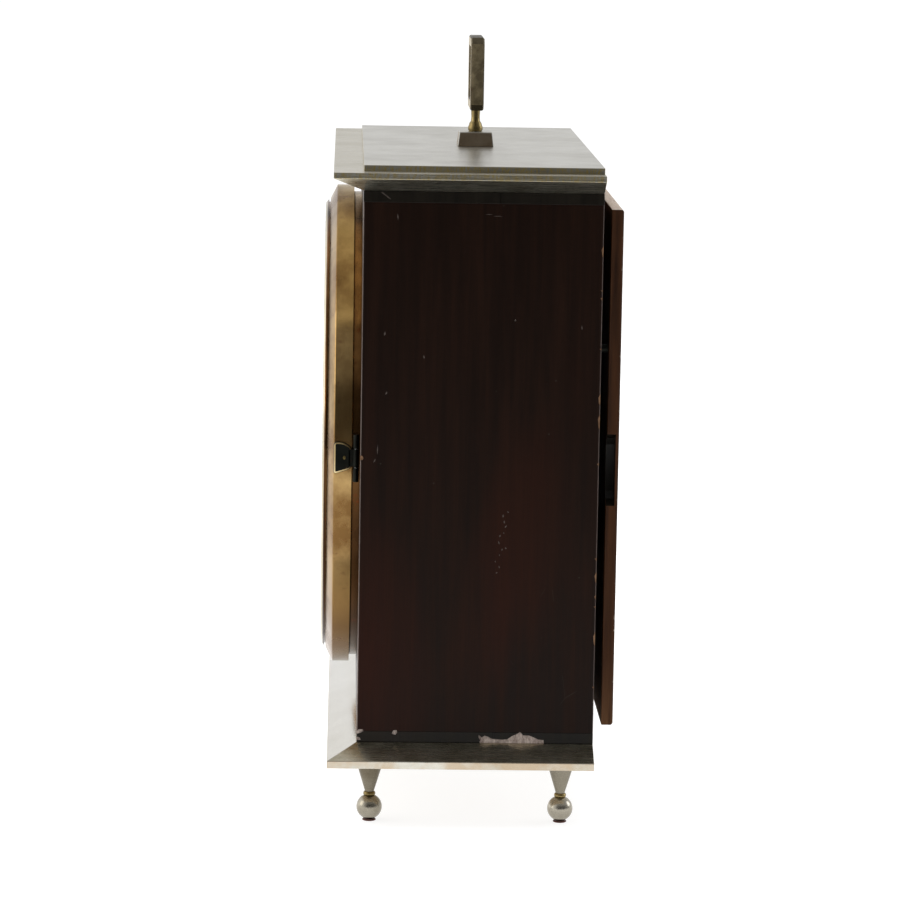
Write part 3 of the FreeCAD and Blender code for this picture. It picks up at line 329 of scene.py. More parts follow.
@dataclass(frozen=True)
class BrushedPlate(Finish):
    """Nickel-plated brass, linished along its length and gone dull: grey-olive, brassy where it has worn."""

    nickel: str = "a8a49a"
    tarnish: str = "6a675b"
    brass: str = "d2be7e"
    worn_spans: Outline = ()
    wear: float = 0.6
    rough: float = 0.36
    metal: float = 1.0
    blotch_mm: float = 22.0
    fleck_mm: float = 1.4
    fleck_stretch: tuple[float, float, float] = (1.0, 2.2, 0.5)

    def dress(self, tree: NodeTree, place: NodeSocket) -> Node:
        """Fine brush lines front to back, cloudy tarnish and brass showing through along the edges.

        Args:
            tree: Node tree of the material.
            place: Position on the object.

        Returns:
            The shader.
        """
        lines = add(tree, "TexNoise", Vector=add(tree, "Mapping", Vector=place, Scale=(1.0, 0.02, 1.0)),
                    Scale=per_mm(0.35), Detail=4.0, Roughness=0.75)
        clouds = add(tree, "TexNoise", Vector=place, Scale=per_mm(self.blotch_mm), Detail=6.0, Roughness=0.6)
        dull = add(tree, "MapRange", Value=clouds, From_Min=0.36, From_Max=0.68)
        plate = add(tree, "Mix", BLEND, Factor=dull, A=self.nickel,
                    B=self.tarnish)
        grain = add(tree, "MapRange", Value=lines, From_Min=0.3, From_Max=0.7, To_Min=0.86, To_Max=1.06)
        brushed = add(tree, "Mix", SHADE, Factor=1.0, A=plate, B=grain)
        height = add(tree, "SeparateXYZ", Vector=place).outputs["Z"]
        mask = add(tree, "Value")
        mask.outputs[0].default_value = 0.0
        for low, high in self.worn_spans:
            middle, half = (low + high) / 2 * MM, (high - low) / 2 * MM
            away = add(tree, "Math", SIZE_OF,
                       at0=add(tree, "Math", MINUS, at0=height, at1=middle))
            band = add(tree, "MapRange", Value=away, From_Min=half, From_Max=half + 0.0002, To_Min=1.0,
                       To_Max=0.0)
            mask = add(tree, "Math", LARGER, at0=mask, at1=band)
        specks = add(tree, "TexNoise", Vector=add(tree, "Mapping", Vector=place, Scale=self.fleck_stretch),
                     Scale=per_mm(self.fleck_mm), Detail=5.0, Roughness=0.7)
        broken = add(tree, "MapRange", Value=specks, From_Min=0.44, From_Max=0.58, To_Max=self.wear)
        worn = add(tree, "Math", TIMES, at0=mask, at1=broken)
        colour = add(tree, "Mix", BLEND, Factor=worn, A=brushed, B=self.brass)
        rough = add(tree, "MapRange", Value=lines, From_Min=0.3, From_Max=0.7, To_Min=self.rough - 0.06,
                    To_Max=self.rough + 0.1)
        relief = add(tree, "Bump", Strength=0.16, Distance=0.00004, Height=lines)
        return add(tree, "BsdfPrincipled", Base_Color=colour, Metallic=self.metal, Roughness=rough,
                   Normal=relief)


@dataclass(frozen=True)
class AgedBrass(Finish):
    """Turned brass with old lacquer: warm tan, browner clouds, a few red-brown spots where it has gone."""

    bright: str = "a6895a"
    brown: str = "765833"
    spot: str = "5f3018"
    smooth: float = 0.21
    spotting: float = 0.5
    cloud_mm: float = 26.0
    # Heights in millimetres below which painted shade browns the metal, fading out upwards.
    stain_span: tuple[float, float] = (0.0, 1.0)

    def dress(self, tree: NodeTree, place: NodeSocket) -> Node:
        """Clouded colour, browner at the low end of its span as painted shade, spots, and a soft uneven
        polish.

        Args:
            tree: Node tree of the material.
            place: Position on the object.

        Returns:
            The shader.
        """
        clouds = add(tree, "TexNoise", Vector=place, Scale=per_mm(self.cloud_mm), Detail=6.0, Roughness=0.62)
        height = add(tree, "SeparateXYZ", Vector=place).outputs["Z"]
        painted_shade = add(tree, "MapRange", Value=height, From_Min=self.stain_span[0] * MM,
                      From_Max=self.stain_span[1] * MM, To_Min=0.95, To_Max=0.0)
        cloudy = add(tree, "MapRange", Value=clouds, From_Min=0.40, From_Max=0.62)
        tone = add(tree, "Math", LARGER, at0=cloudy, at1=painted_shade)
        metal = add(tree, "Mix", BLEND, Factor=tone, A=self.bright, B=self.brown)
        specks = add(tree, "TexNoise", Vector=place, Scale=per_mm(3.0), Detail=5.0, Roughness=0.7)
        spots = add(tree, "MapRange", Value=specks, From_Min=0.60, From_Max=0.68, To_Max=self.spotting)
        colour = add(tree, "Mix", BLEND, Factor=spots, A=metal, B=self.spot)
        rough = add(tree, "MapRange", Value=clouds, From_Min=0.35, From_Max=0.7, To_Min=self.smooth - 0.04,
                    To_Max=self.smooth + 0.10)
        relief = add(tree, "Bump", Strength=0.03, Distance=0.00003, Height=clouds)
        return add(tree, "BsdfPrincipled", Base_Color=colour, Metallic=1.0, Roughness=rough, Normal=relief)


@dataclass(frozen=True)
class WorkedSteel(Finish):
    """Steel from the lathe or file, bright or blued: even colour with fine tool marks."""

    colour: str = "a4a4a3"
    shade: str = "6f6e6c"
    smooth: float = 0.28

    def dress(self, tree: NodeTree, place: NodeSocket) -> Node:
        """Fine marks with slight clouding.

        Args:
            tree: Node tree of the material.
            place: Position on the object.

        Returns:
            The shader.
        """
        marks = add(tree, "TexNoise", Vector=place, Scale=per_mm(0.6), Detail=5.0, Roughness=0.7)
        clouds = add(tree, "TexNoise", Vector=place, Scale=per_mm(6.0), Detail=3.0)
        tone = add(tree, "MapRange", Value=clouds, From_Min=0.4, From_Max=0.75)
        metal = add(tree, "Mix", BLEND, Factor=tone, A=self.colour, B=self.shade)
        rough = add(tree, "MapRange", Value=marks, From_Min=0.3, From_Max=0.7, To_Min=self.smooth - 0.06,
                    To_Max=self.smooth + 0.08)
        relief = add(tree, "Bump", Strength=0.08, Distance=0.00003, Height=marks)
        return add(tree, "BsdfPrincipled", Base_Color=metal, Metallic=1.0, Roughness=rough, Normal=relief)


@dataclass(frozen=True)
class FiredEnamel(Finish):
    """Cream enamel on a metal disc: glossy, faintly uneven, slightly yellowed in patches."""

    cream: str = "dcd3bc"
    yellowed: str = "d3c8ab"

    def dress(self, tree: NodeTree, place: NodeSocket) -> Node:
        """Patchy yellowing and an orange-peel gloss.

        Args:
            tree: Node tree of the material.
            place: Position on the object.

        Returns:
            The shader.
        """
        patches = add(tree, "TexNoise", Vector=place, Scale=per_mm(35.0), Detail=4.0)
        tone = add(tree, "MapRange", Value=patches, From_Min=0.42, From_Max=0.75)
        colour = add(tree, "Mix", BLEND, Factor=tone, A=self.cream,
                     B=self.yellowed)
        peel = add(tree, "TexNoise", Vector=place, Scale=per_mm(2.5), Detail=2.0)
        rough = add(tree, "MapRange", Value=peel, From_Min=0.3, From_Max=0.7, To_Min=0.22, To_Max=0.32)
        relief = add(tree, "Bump", Strength=0.05, Distance=0.00005, Height=peel)
        return add(tree, "BsdfPrincipled", Base_Color=colour, Roughness=rough, Normal=relief)


@dataclass(frozen=True)
class BlackEnamel(Finish):
    """Black vitreous paint of the numerals: nearly black, slightly broken gloss."""

    black: str = "14120f"

    def dress(self, tree: NodeTree, place: NodeSocket) -> Node:
        """Even black with a varying gloss.

        Args:
            tree: Node tree of the material.
            place: Position on the object.

        Returns:
            The shader.
        """
        peel = add(tree, "TexNoise", Vector=place, Scale=per_mm(1.5), Detail=3.0)
        colour = add(tree, "Mix", BLEND, Factor=peel, A=self.black, B="26231d")
        rough = add(tree, "MapRange", Value=peel, From_Min=0.3, From_Max=0.7, To_Min=0.3, To_Max=0.45)
        return add(tree, "BsdfPrincipled", Base_Color=colour, Roughness=rough)


@dataclass(frozen=True)
class WoolFelt(Finish):
    """Pressed wool felt: matt rust-brown nap with a soft sheen at its rim."""

    rust: str = "6d2f1c"
    shade: str = "3f1a10"

    def dress(self, tree: NodeTree, place: NodeSocket) -> Node:
        """Tangled nap drawn about three times too coarse so that it shows.

        Args:
            tree: Node tree of the material.
            place: Position on the object.

        Returns:
            The shader.
        """
        nap = add(tree, "TexNoise", Vector=place, Scale=per_mm(0.35), Detail=6.0, Roughness=0.8)
        tone = add(tree, "MapRange", Value=nap, From_Min=0.35, From_Max=0.65)
        colour = add(tree, "Mix", BLEND, Factor=tone, A=self.shade, B=self.rust)
        relief = add(tree, "Bump", Strength=0.6, Distance=0.0002, Height=nap)
        return add(tree, "BsdfPrincipled", Base_Color=colour, Roughness=0.95, Normal=relief, Sheen_Weight=0.3)


@dataclass(frozen=True)
class ClearGlass(Finish):
    """Old domed clock glass: clear with a breath of green and faint ripples."""

    tint: str = "fafcfa"

    def dress(self, tree: NodeTree, place: NodeSocket) -> Node:
        """Almost flat, with slow ripples from blowing.

        Args:
            tree: Node tree of the material.
            place: Position on the object.

        Returns:
            The shader.
        """
        ripple = add(tree, "TexNoise", Vector=place, Scale=per_mm(30.0), Detail=1.0)
        relief = add(tree, "Bump", Strength=0.03, Distance=0.0003, Height=ripple)
        return add(tree, "BsdfPrincipled", Base_Color=self.tint, Roughness=0.02, Normal=relief, IOR=1.5,
                  Transmission_Weight=1.0)


@dataclass(frozen=True)
class PaperSweep(Finish):
    """White paper under the clock, lit through so that it stays paler than its shadows."""

    white: str = "9a9a9a"
    glow: str = "ffffff"
    lift: float = 0.82

    def dress(self, tree: NodeTree, place: NodeSocket) -> Node:
        """Plain matt white.

        Args:
            tree: Node tree of the material.
            place: Position on the object; not used.

        Returns:
            The shader.
        """
        return add(tree, "BsdfPrincipled", Base_Color=self.white, Roughness=0.9, Specular_IOR_Level=0.0,
                  Emission_Color=self.glow, Emission_Strength=self.lift)


class Finishes:
    """The clock's finishes, each built once and shared by the pieces that wear it."""

    def __init__(self) -> None:
        """Build every material."""
        # Deep satin brown whose close grain shows where the light grazes it.
        self.veneer = LacqueredVeneer("mahogany_satin_lacquer").build()
        # The front's wider figure, a little glossier.
        self.front_veneer = LacqueredVeneer("mahogany_front", figure_mm=5.0, shine=0.16).build()
        # Near-black stripes that frame the sides; the same near-black also paints the shade in the door's
        # finger notch.
        self.banding = LacqueredVeneer("ebonised_pearwood_and_painted_notch_shade", dark="14110d", warm="1d1913", red="20180f",
                                       figure_mm=4.0, gloss=0.3, shine=0.12).build()
        # Pale rubbed lines down the upright corners.
        self.corner = LacqueredVeneer("rubbed_veneer_edge", dark="5b4a44", warm="83736b", red="7a4a34",
                                      figure_mm=12.0).build()
        # Grey-brown specks where the lacquer is dented.
        self.mark = BareGround("dented_lacquer", pale="5f5550", shade="3b322e").build()
        # Warm bare wood in the nicks of the corners.
        self.rubbed = BareGround("rubbed_bare_mahogany", pale="a17c5c", shade="6b4b36").build()
        # A redder, streaky door, so that the back reads as another wood.
        self.board = WornBoard("stained_beech_door").build()
        # Plain unlacquered wood inside the case.
        self.inner_wood = WornBoard("raw_case_wood", dark="5b4029", warm="785839", worn="876847").build()
        # Pale flakes that stand out of the dark veneer.
        self.bare = BareGround("bare_ground_under_veneer").build()
        # Dusty, rubbed grain on the door's nicks and top end; on the top end the pale tone is also a painted
        # highlight of the overhead light.
        self.dusty = BareGround("dusty_rubbed_end_grain_painted_highlight", pale="b3a598", shade="5f4e42").build()
        # Bright edge, with brass in long flecks where the plating is thin.
        self.base_plate = BrushedPlate("nickel_base_plate", nickel="cfcbc0", tarnish="b7b2a3",
                                       brass="b2946d", fleck_mm=34.0, fleck_stretch=(1.0, 1.0, 1.0),
                                       rough=0.2, wear=0.55, worn_spans=((21.9, 24.75),)).build()
        # Duller edge whose plating has mostly worn to brass.
        self.top_plate = BrushedPlate("nickel_top_plate", nickel="c4c1b6", tarnish="aba797", brass="bda971",
                                      rough=0.27, worn_spans=((230.1, 232.2),), wear=0.85).build()
        # Mid-grey block, brassy along its foot.
        self.slab = BrushedPlate("nickel_top_slab", nickel="cdcbc3", tarnish="b3b0a6",
                                 worn_spans=((232.2, 234.1),), wear=0.95, rough=0.3).build()
        # Cloudy slope that mirrors the dark case.
        self.bevel = BrushedPlate("tarnished_nickel_bevel", nickel="cfc8b4", tarnish="aaa38c", rough=0.24,
                                  metal=0.97, blotch_mm=9.0).build()
        # Almost white front slope of the base plate: a painted highlight of the front light on the plate's
        # nickel.
        self.front_bevel = BrushedPlate("polished_front_bevel_painted_highlight", nickel="efece4", tarnish="e4e0d6",
                                        rough=0.14, blotch_mm=30.0).build()
        # Cloudy slope that carries the overhang's shade.
        self.under_bevel = BrushedPlate("tarnished_under_bevel", nickel="d4d0c0", tarnish="b4af9a",
                                        rough=0.27, blotch_mm=9.0).build()
        # Dark tapering shanks.
        self.feet = BrushedPlate("nickel_feet", nickel="868072", tarnish="675f50", rough=0.26).build()
        # Polished balls with a sharp highlight.
        self.balls = BrushedPlate("polished_nickel_ball", nickel="aaa496", tarnish="827b6b",
                                  rough=0.22).build()
        # Pale dry brass with small clouds.
        self.handle = AgedBrass("patinated_brass_loop", bright="cdbb94", brown="8a7d63", smooth=0.36,
                                spotting=0.2, cloud_mm=6.0).build()
        # Dark chamfers and top faces that outline the loop: painted shade on the loop's brass.
        self.handle_edge = AgedBrass("painted_shade_loop_chamfer", bright="5b5342", brown="433c2e", smooth=0.45,
                                     spotting=0.2, cloud_mm=6.0).build()
        # Pinkish bronze sides under the bright arrises.
        self.block = AgedBrass("bronzed_block", bright="b8a78f", brown="8c7a65", smooth=0.32,
                               spotting=0.2).build()
        # Yellower turned brass between the greys.
        self.collar = AgedBrass("yellow_brass_collar", bright="877750", brown="625533", smooth=0.3,
                                spotting=0.3).build()
        # Tan band, browner towards its foot as a painted dark reflection.
        self.bezel = AgedBrass("lacquered_brass_bezel", stain_span=(62.0, 95.0)).build()
        # Bright line round the glass: a painted highlight on the bezel's lip.
        self.rim = BrushedPlate("painted_highlight_sight_ring", nickel="d3cbb8", tarnish="bdb39d",
                                rough=0.16).build()
        # Red-brown ring behind the bezel with rust spots; its dark tone, darkest towards its foot, is painted
        # shade in the gap behind the band, and it paints the shade in the bezel's groove too.
        self.ring = AgedBrass("spotted_brass_ring_painted_shade", bright="7f5a33", brown="3b2716", spotting=0.8,
                              stain_span=(105.0, 165.0)).build()
        # Nearly black hinge that breaks the brass band: a painted dark reflection on the leaf and knuckles;
        # the door's strike and catch share it.
        self.leaf = AgedBrass("bronzed_leaf_and_painted_dark_reflection", bright="2c2d28", brown="1b1c19", smooth=0.3,
                              spotting=0.2).build()
        # Bright outline of the hinge leaf: a painted highlight on its chamfered rim.
        self.leaf_edge = AgedBrass("painted_highlight_leaf_edge", bright="e0cda0", brown="bfa777", smooth=0.3,
                                   spotting=0.1).build()
        # Clean clockmaker's brass of the movement.
        self.brass = AgedBrass("clock_brass", bright="c2a46c", brown="b0925a", smooth=0.24,
                               spotting=0.12).build()
        # Grey steel with fine tool marks.
        self.steel = WorkedSteel("bright_steel").build()
        # Dark blue hands that stand off the dial.
        self.blued = WorkedSteel("blued_steel", colour="1c2745", shade="101523", smooth=0.22).build()
        # Warm cream dial with a soft gloss.
        self.enamel = FiredEnamel("cream_enamel_dial").build()
        # Crisp dark numerals and minute track.
        self.black = BlackEnamel("black_numeral_enamel").build()
        # Matt rust-brown pads under the balls.
        self.felt = WoolFelt("rust_wool_felt").build()
        # Clear dome that shows as reflections only.
        self.glass = ClearGlass("domed_glass").build()
        # White surface that takes the soft shadow.
        self.paper = PaperSweep("white_paper").build()


class Workpiece:
    """A mesh under work, in millimetres in the clock's own frame."""

    def __init__(self, name: str) -> None:
        """Start an empty piece.

        Args:
            name: Name of the object it becomes.
        """
        self.name = name
        self.bm = bmesh.new()

    def block(self, low: Sequence[float], high: Sequence[float]) -> "Workpiece":
        """Add a box.

        Args:
            low: Its lower corner.
            high: Its upper corner.

        Returns:
            The piece, for the next step.
        """
        size = Vector(high) - Vector(low)
        centre = (Vector(high) + Vector(low)) / 2
        place = Matrix.Translation(centre) @ Matrix.Diagonal((*size, 1.0))
        bmesh.ops.create_cube(self.bm, size=1.0, matrix=place)
        return self

    def prism(self, outline: Outline, way: Way, start: float, end: float,
              holes: Iterable[Outline] = ()) -> "Workpiece":
        """Add a flat outline drawn across a direction and extruded along it.

        Args:
            outline: Corners, as (y, z) for SIDE, (x, z) for FRONT and (x, y) for UP.
            way: Direction of the extrusion.
            start: Where the outline lies along it.
            end: Where the extrusion ends.
            holes: Outlines of openings in it.

        Returns:
            The piece, for the next step.
        """
        place = {Way.SIDE: lambda a, b: (start, a, b), Way.FRONT: lambda a, b: (a, start, b),
                 Way.UP: lambda a, b: (a, b, start)}[way]
        known, edges = set(self.bm.faces), []
        for loop in (outline, *holes):
            points = [self.bm.verts.new(place(*corner)) for corner in loop]
            edges += [self.bm.edges.new((points[i - 1], points[i])) for i in range(len(points))]
        bmesh.ops.triangle_fill(self.bm, edges=edges, use_beauty=True)
        if not holes:
            flat = [face for face in self.bm.faces if face not in known]
            bmesh.ops.dissolve_faces(self.bm, faces=flat)
        faces = [face for face in self.bm.faces if face not in known]
        shift = Vector((0, 0, 0))
        shift[self.axis(way)] = end - start
        grown = bmesh.ops.extrude_face_region(self.bm, geom=faces, use_keep_orig=True)
        moved = [item for item in grown["geom"] if isinstance(item, bmesh.types.BMVert)]
        bmesh.ops.translate(self.bm, verts=moved, vec=shift)
        fresh = [face for face in self.bm.faces if face not in known]
        bmesh.ops.recalc_face_normals(self.bm, faces=fresh)
        return self

    @staticmethod
    def axis(way: Way) -> int:
        """Find the index of the axis that a direction runs along."""
        return {Way.SIDE: 0, Way.FRONT: 1, Way.UP: 2}[way]

    def lathe(self, profile: Outline, way: Way, centre: Sequence[float],
              steps: int = 96, closed: bool = True) -> "Workpiece":
        """Turn a half profile about an axis.

        Args:
            profile: Points as (radius, distance along the axis). Distances count from the centre, upwards for
                UP and towards the front for FRONT.
            way: Direction of the axis.
            centre: A point on the axis.
            steps: Facets round the axis.
            closed: Whether the last point joins the first.

        Returns:
            The piece, for the next step.
        """
        middle = Vector(centre)
        along = Vector((0, -1, 0)) if way is Way.FRONT else Vector((0, 0, 1))
        points = [self.bm.verts.new(middle + Vector((radius, 0, 0)) + along * far) for radius, far in profile]
        count = len(points)
        edges = [self.bm.edges.new((points[i], points[i + 1])) for i in range(count - 1)]
        if closed:
            edges.append(self.bm.edges.new((points[-1], points[0])))
        bmesh.ops.spin(self.bm, geom=points + edges, cent=middle, axis=along, dvec=(0, 0, 0),
                       angle=2 * math.pi, steps=steps, use_merge=True, use_normal_flip=False,
                       use_duplicate=False)
        bmesh.ops.remove_doubles(self.bm, verts=self.bm.verts, dist=1e-4)
        bmesh.ops.recalc_face_normals(self.bm, faces=self.bm.faces)
        return self

    def ball(self, centre: Sequence[float], radius: float,
             squash: Sequence[float] = (1, 1, 1)) -> "Workpiece":
        """Add a smooth sphere.

        Args:
            centre: Its middle.
            radius: Its radius.
            squash: Factors on its three diameters.

        Returns:
            The piece, for the next step.
        """
        place = Matrix.Translation(Vector(centre)) @ Matrix.Diagonal((*squash, 1.0))
        bmesh.ops.create_uvsphere(self.bm, u_segments=48, v_segments=32, radius=radius, matrix=place)
        return self

    def bevel(self, edges: Sequence, width: float, segments: int = 2) -> "Workpiece":
        """Round some of the edges.

        Args:
            edges: The edges.
            width: Size of the rounding.
            segments: Facets across it.

        Returns:
            The piece, for the next step.
        """
        bmesh.ops.bevel(self.bm, geom=edges, offset=width, segments=segments, profile=0.5, affect="EDGES",
                        material=-1, clamp_overlap=True)
        return self

    def soften(self, width: float, segments: int = 2, least: float = 25.0) -> "Workpiece":
        """Round every edge that turns by more than an angle.

        Args:
            width: Size of the rounding.
            segments: Facets across it.
            least: Smallest turn, in degrees.

        Returns:
            The piece, for the next step.
        """
        sharp = [edge for edge in self.bm.edges if len(edge.link_faces) == 2
                 and edge.calc_face_angle() > math.radians(least)]
        return self.bevel(sharp, width, segments)

    def made(self, *materials: Material, smooth: float = 15.0) -> Object:
        """Turn the work into an object at the origin, in metres.

        Args:
            materials: Its materials, in slot order.
            smooth: Edges that turn by more than this many degrees stay sharp.

        Returns:
            The object.
        """
        bmesh.ops.scale(self.bm, vec=(MM, MM, MM), verts=self.bm.verts)
        mesh = bpy.data.meshes.new(self.name)
        self.bm.to_mesh(mesh)
        self.bm.free()
        mesh.shade_smooth()
        mesh.set_sharp_from_angle(angle=math.radians(smooth))
        for material in materials:
            mesh.materials.append(material)
        made = bpy.data.objects.new(self.name, mesh)
        bpy.context.scene.collection.objects.link(made)
        return made


def settle(piece: Object, body: str, slot: str, *nodes: str) -> Object:
    """Put a finished piece on its body.

    Args:
        piece: The object.
        body: CAD body that it rides on.
        slot: Slot of the record that it takes its finish from; not used.
        nodes: CAD nodes that it stands for.

    Returns:
        The object.
    """
    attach(piece, body)
    if nodes:
        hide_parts(*nodes)
    log.info("%s rides on %s, %d faces", piece.name, body, len(piece.data.polygons))
    return piece


def carve(target: Object, cutter: Object, smooth: float = 15.0) -> None:
    """Cut one object out of another and delete the cutter.

    Args:
        target: Object that loses the shape.
        cutter: Shape that is cut away.
        smooth: Edges that turn by more than this many degrees stay sharp.
    """
    step = target.modifiers.new("carve", "BOOLEAN")
    step.operation = "DIFFERENCE"
    step.object = cutter
    step.solver = "EXACT"
    graph = bpy.context.evaluated_depsgraph_get()
    cut = bpy.data.meshes.new_from_object(target.evaluated_get(graph))
    target.modifiers.clear()
    target.data = cut
    cut.set_sharp_from_angle(angle=math.radians(smooth))
    bpy.data.objects.remove(cutter)


def dress_nodes(material: Material, *nodes: str) -> None:
    """Give CAD nodes a better material.

    Args:
        material: The material.
        nodes: Names of the nodes, which keep their CAD shapes.
    """
    for node in nodes:
        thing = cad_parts[node]
        if not thing.material_slots:
            thing.data.materials.append(material)
        for slot in thing.material_slots:
            slot.material = material
        log.info("%s keeps its CAD shape", node)


@dataclass
class Chip:
    """A flake of veneer missing from a side of the case, as (y, z) corners in millimetres."""

    corners: Outline
    depth: float


@dataclass
class CaseShell:
    """Veneered box: sides, front, boards and the dark bandings, with their knocks."""

    finishes: Finishes
    edge_round: float = 0.3
    banding_round: float = 0.2
    banding_wall: float = 8.0
    flake_depth: float = 0.45
    rub_depth: float = 0.42
    mark_depth: float = 0.05
    # Heights and lengths of the slivers along the rear corner.
    slivers: Outline = (
        (20.0, 1.2), (34.8, 7.0), (49.0, 1.2), (52.2, 2.0), (57.5, 5.6), (66.0, 1.6), (100.0, 1.4),
        (112.0, 8.0), (121.0, 5.6), (141.0, 1.0), (158.5, 1.6), (161.6, 0.9), (173.0, 5.8))
    # Middle (y, z), half width and half height of the small marks.
    marks: tuple[tuple[float, float, float, float], ...] = (
        (8.0, 146.0, 0.35, 0.8), (21.8, 138.0, 0.3, 0.7), (8.8, 125.0, 0.3, 0.6), (6.0, 105.0, 0.22, 1.9),
        (5.0, 101.0, 0.25, 0.8), (77.0, 149.0, 0.2, 0.9), (12.0, 187.0, 0.2, 1.3), (43.8, 188.3, 1.3, 0.13),
        (46.9, 187.7, 1.7, 0.13))
    box: Extent = field(default_factory=lambda: Extent.of("left_side_panel", "right_side_panel",
                                                          "lower_banding", "upper_banding"))

    def placed(self, shapes: Iterable[Outline], depth: float) -> list[Chip]:
        """Put outlines on the side of the case.

        Args:
            shapes: Outlines as (y, z) from the case's front lower corner.
            depth: How deep they go.

        Returns:
            The flakes.
        """
        front, low = self.box.low.y, self.box.low.z
        return [Chip([(front + y, low + z) for y, z in shape], depth) for shape in shapes]

    def chips(self) -> tuple[list[Chip], list[Chip]]:
        """List the missing flakes on the right side.

        Returns:
            Flakes that bare the ground, and rubbed nicks along the corners that bare the wood.
        """
        large = [(43.4, -0.5), (43.9, 0.9), (43.3, 2.0), (43.3, 3.0), (44.5, 2.0), (45.4, 2.7), (46.7, 2.3),
                 (48.3, 1.5), (51.8, 1.3), (53.6, 1.5), (55.3, 2.7), (57.1, 3.5), (58.0, 4.2), (59.1, 3.0),
                 (61.2, 2.9), (63.0, 2.2), (64.7, 1.4), (66.5, 1.3), (66.6, -0.5)]
        small = [(12.3, 2.9), (13.0, 4.3), (14.2, 4.4), (14.4, 3.3), (13.7, 2.6)]
        corner = [(-0.5, 3.3), (0.6, 4.5), (2.0, 4.6), (2.4, 3.9), (1.3, 3.2), (-0.5, 2.6)]
        toe = [(-0.5, 0.5), (-0.5, 2.0), (1.0, 1.6), (1.6, 0.6)]
        speck = [(53.2, 151.0), (53.6, 151.7), (54.0, 151.3), (53.7, 150.8)]
        nick = [(-0.5, 101.0), (0.9, 101.2), (1.2, 102.0), (0.6, 102.7), (-0.5, 102.9)]
        slivers = [[(84.5, low), (83.6, low + rise * 0.2), (83.3, low + rise * 0.6), (84.5, low + rise)]
                   for low, rise in self.slivers]
        return (self.placed((large, small, corner, toe, speck), self.flake_depth),
                self.placed((nick, *slivers), self.rub_depth))

    def knocks(self) -> list[Chip]:
        """List the shallow marks on the right side: a speck, a run of dents and a few short scratches.

        Returns:
            The marks.
        """
        draw = random.Random(7)
        marks = list(self.marks)
        for step in range(13):
            marks.append((49.2 + 0.2 * step + draw.uniform(-1.6, 1.6),
                          62.0 + 1.8 * step + draw.uniform(-0.7, 0.7),
                          draw.uniform(0.2, 0.36), draw.uniform(0.25, 0.75)))
        shapes = []
        for y, z, half, tall in marks:
            lean = draw.uniform(-0.3, 0.3)
            shapes.append([(y - half, z), (y + lean - half * 0.4, z - tall), (y + half, z - 0.1),
                           (y - lean + half * 0.3, z + tall)])
        return self.placed(shapes, self.mark_depth)

    def build(self) -> None:
        """Make the sides and bandings, and dress the boards."""
        for node in ("left_side_panel", "right_side_panel"):
            self.side(node)
        for node in ("lower_banding", "upper_banding"):
            self.banding(node)
        dress_nodes(self.finishes.front_veneer, "front_panel")
        dress_nodes(self.finishes.inner_wood, "top_board", "bottom_board")

    def side(self, node: str) -> None:
        """Make one side, its rubbed corners and its flakes.

        Args:
            node: CAD node that it stands for.
        """
        box = Extent.of(node)
        work = Workpiece(node + "_veneered").block(box.low, box.high)
        upright = [edge for edge in work.bm.edges
                   if abs(edge.verts[0].co.z - edge.verts[1].co.z) > 1.0]
        work.bevel(upright, self.edge_round)
        piece = work.made(self.finishes.veneer, self.finishes.bare, self.finishes.corner, self.finishes.mark,
                          self.finishes.rubbed)
        self.rub_corner(piece, box)
        if box.middle.x > 0:
            broken, rubbed = self.chips()
            self.flake(piece, box.high.x, broken, 1)
            self.flake(piece, box.high.x, rubbed, 4)
            self.flake(piece, box.high.x, self.knocks(), 3)
        settle(piece, "case", "mahogany", node)

    def rub_corner(self, piece: Object, box: Extent) -> None:
        """Show paler wood on the rounded front and rear corners.

        Args:
            piece: The side.
            box: Its extent.
        """
        side = math.copysign(1.0, box.middle.x)
        for face in piece.data.polygons:
            slant = face.normal.x * side > 0.2 and abs(face.normal.y) > 0.2
            if slant and face.material_index == 0:
                face.material_index = 2

    def flake(self, piece: Object, outer: float, chips: list[Chip], slot: int) -> None:
        """Cut missing flakes out of a piece and give their floors another finish.

        Args:
            piece: Side or banding.
            outer: Where its outer face lies, in millimetres.
            chips: The flakes, all of one depth.
            slot: Index of the finish in them.
        """
        level = outer - chips[0].depth
        cutter = Workpiece("flakes")
        for chip in chips:
            cutter.prism(chip.corners, Way.SIDE, level, outer + 1.0)
        carve(piece, cutter.made())
        for face in piece.data.polygons:
            if abs(face.center.x / MM - level) < 0.01:
                face.material_index = slot

    def banding(self, node: str) -> None:
        """Make one dark banding, mitred round the front and both sides.

        Args:
            node: CAD node that it stands for.
        """
        box, wall = Extent.of(node), self.banding_wall
        front, rear, low, high = box.low.y, box.high.y, box.low.x, box.high.x
        inner = Extent.of("front_panel").high.y
        outline = [(low, front), (high, front), (high, rear), (high - wall, rear), (high - wall, inner),
                   (low + wall, inner), (low + wall, rear), (low, rear)]
        work = Workpiece(node + "_strip").prism(outline, Way.UP, box.low.z, box.high.z)
        work.soften(self.banding_round)
        piece = work.made(self.finishes.banding, self.finishes.bare, self.finishes.mark)
        if node == "lower_banding":
            self.flake(piece, high, self.chips()[0], 1)
        else:
            scratch = [(front + y, box.high.z - down)
                       for y, down in ((6.0, 0.5), (6.5, 0.4), (9.5, 2.7), (9.3, 3.0))]
            self.flake(piece, high, [Chip(scratch, self.mark_depth)], 2)
        settle(piece, "case", "ebonised_wood", node)


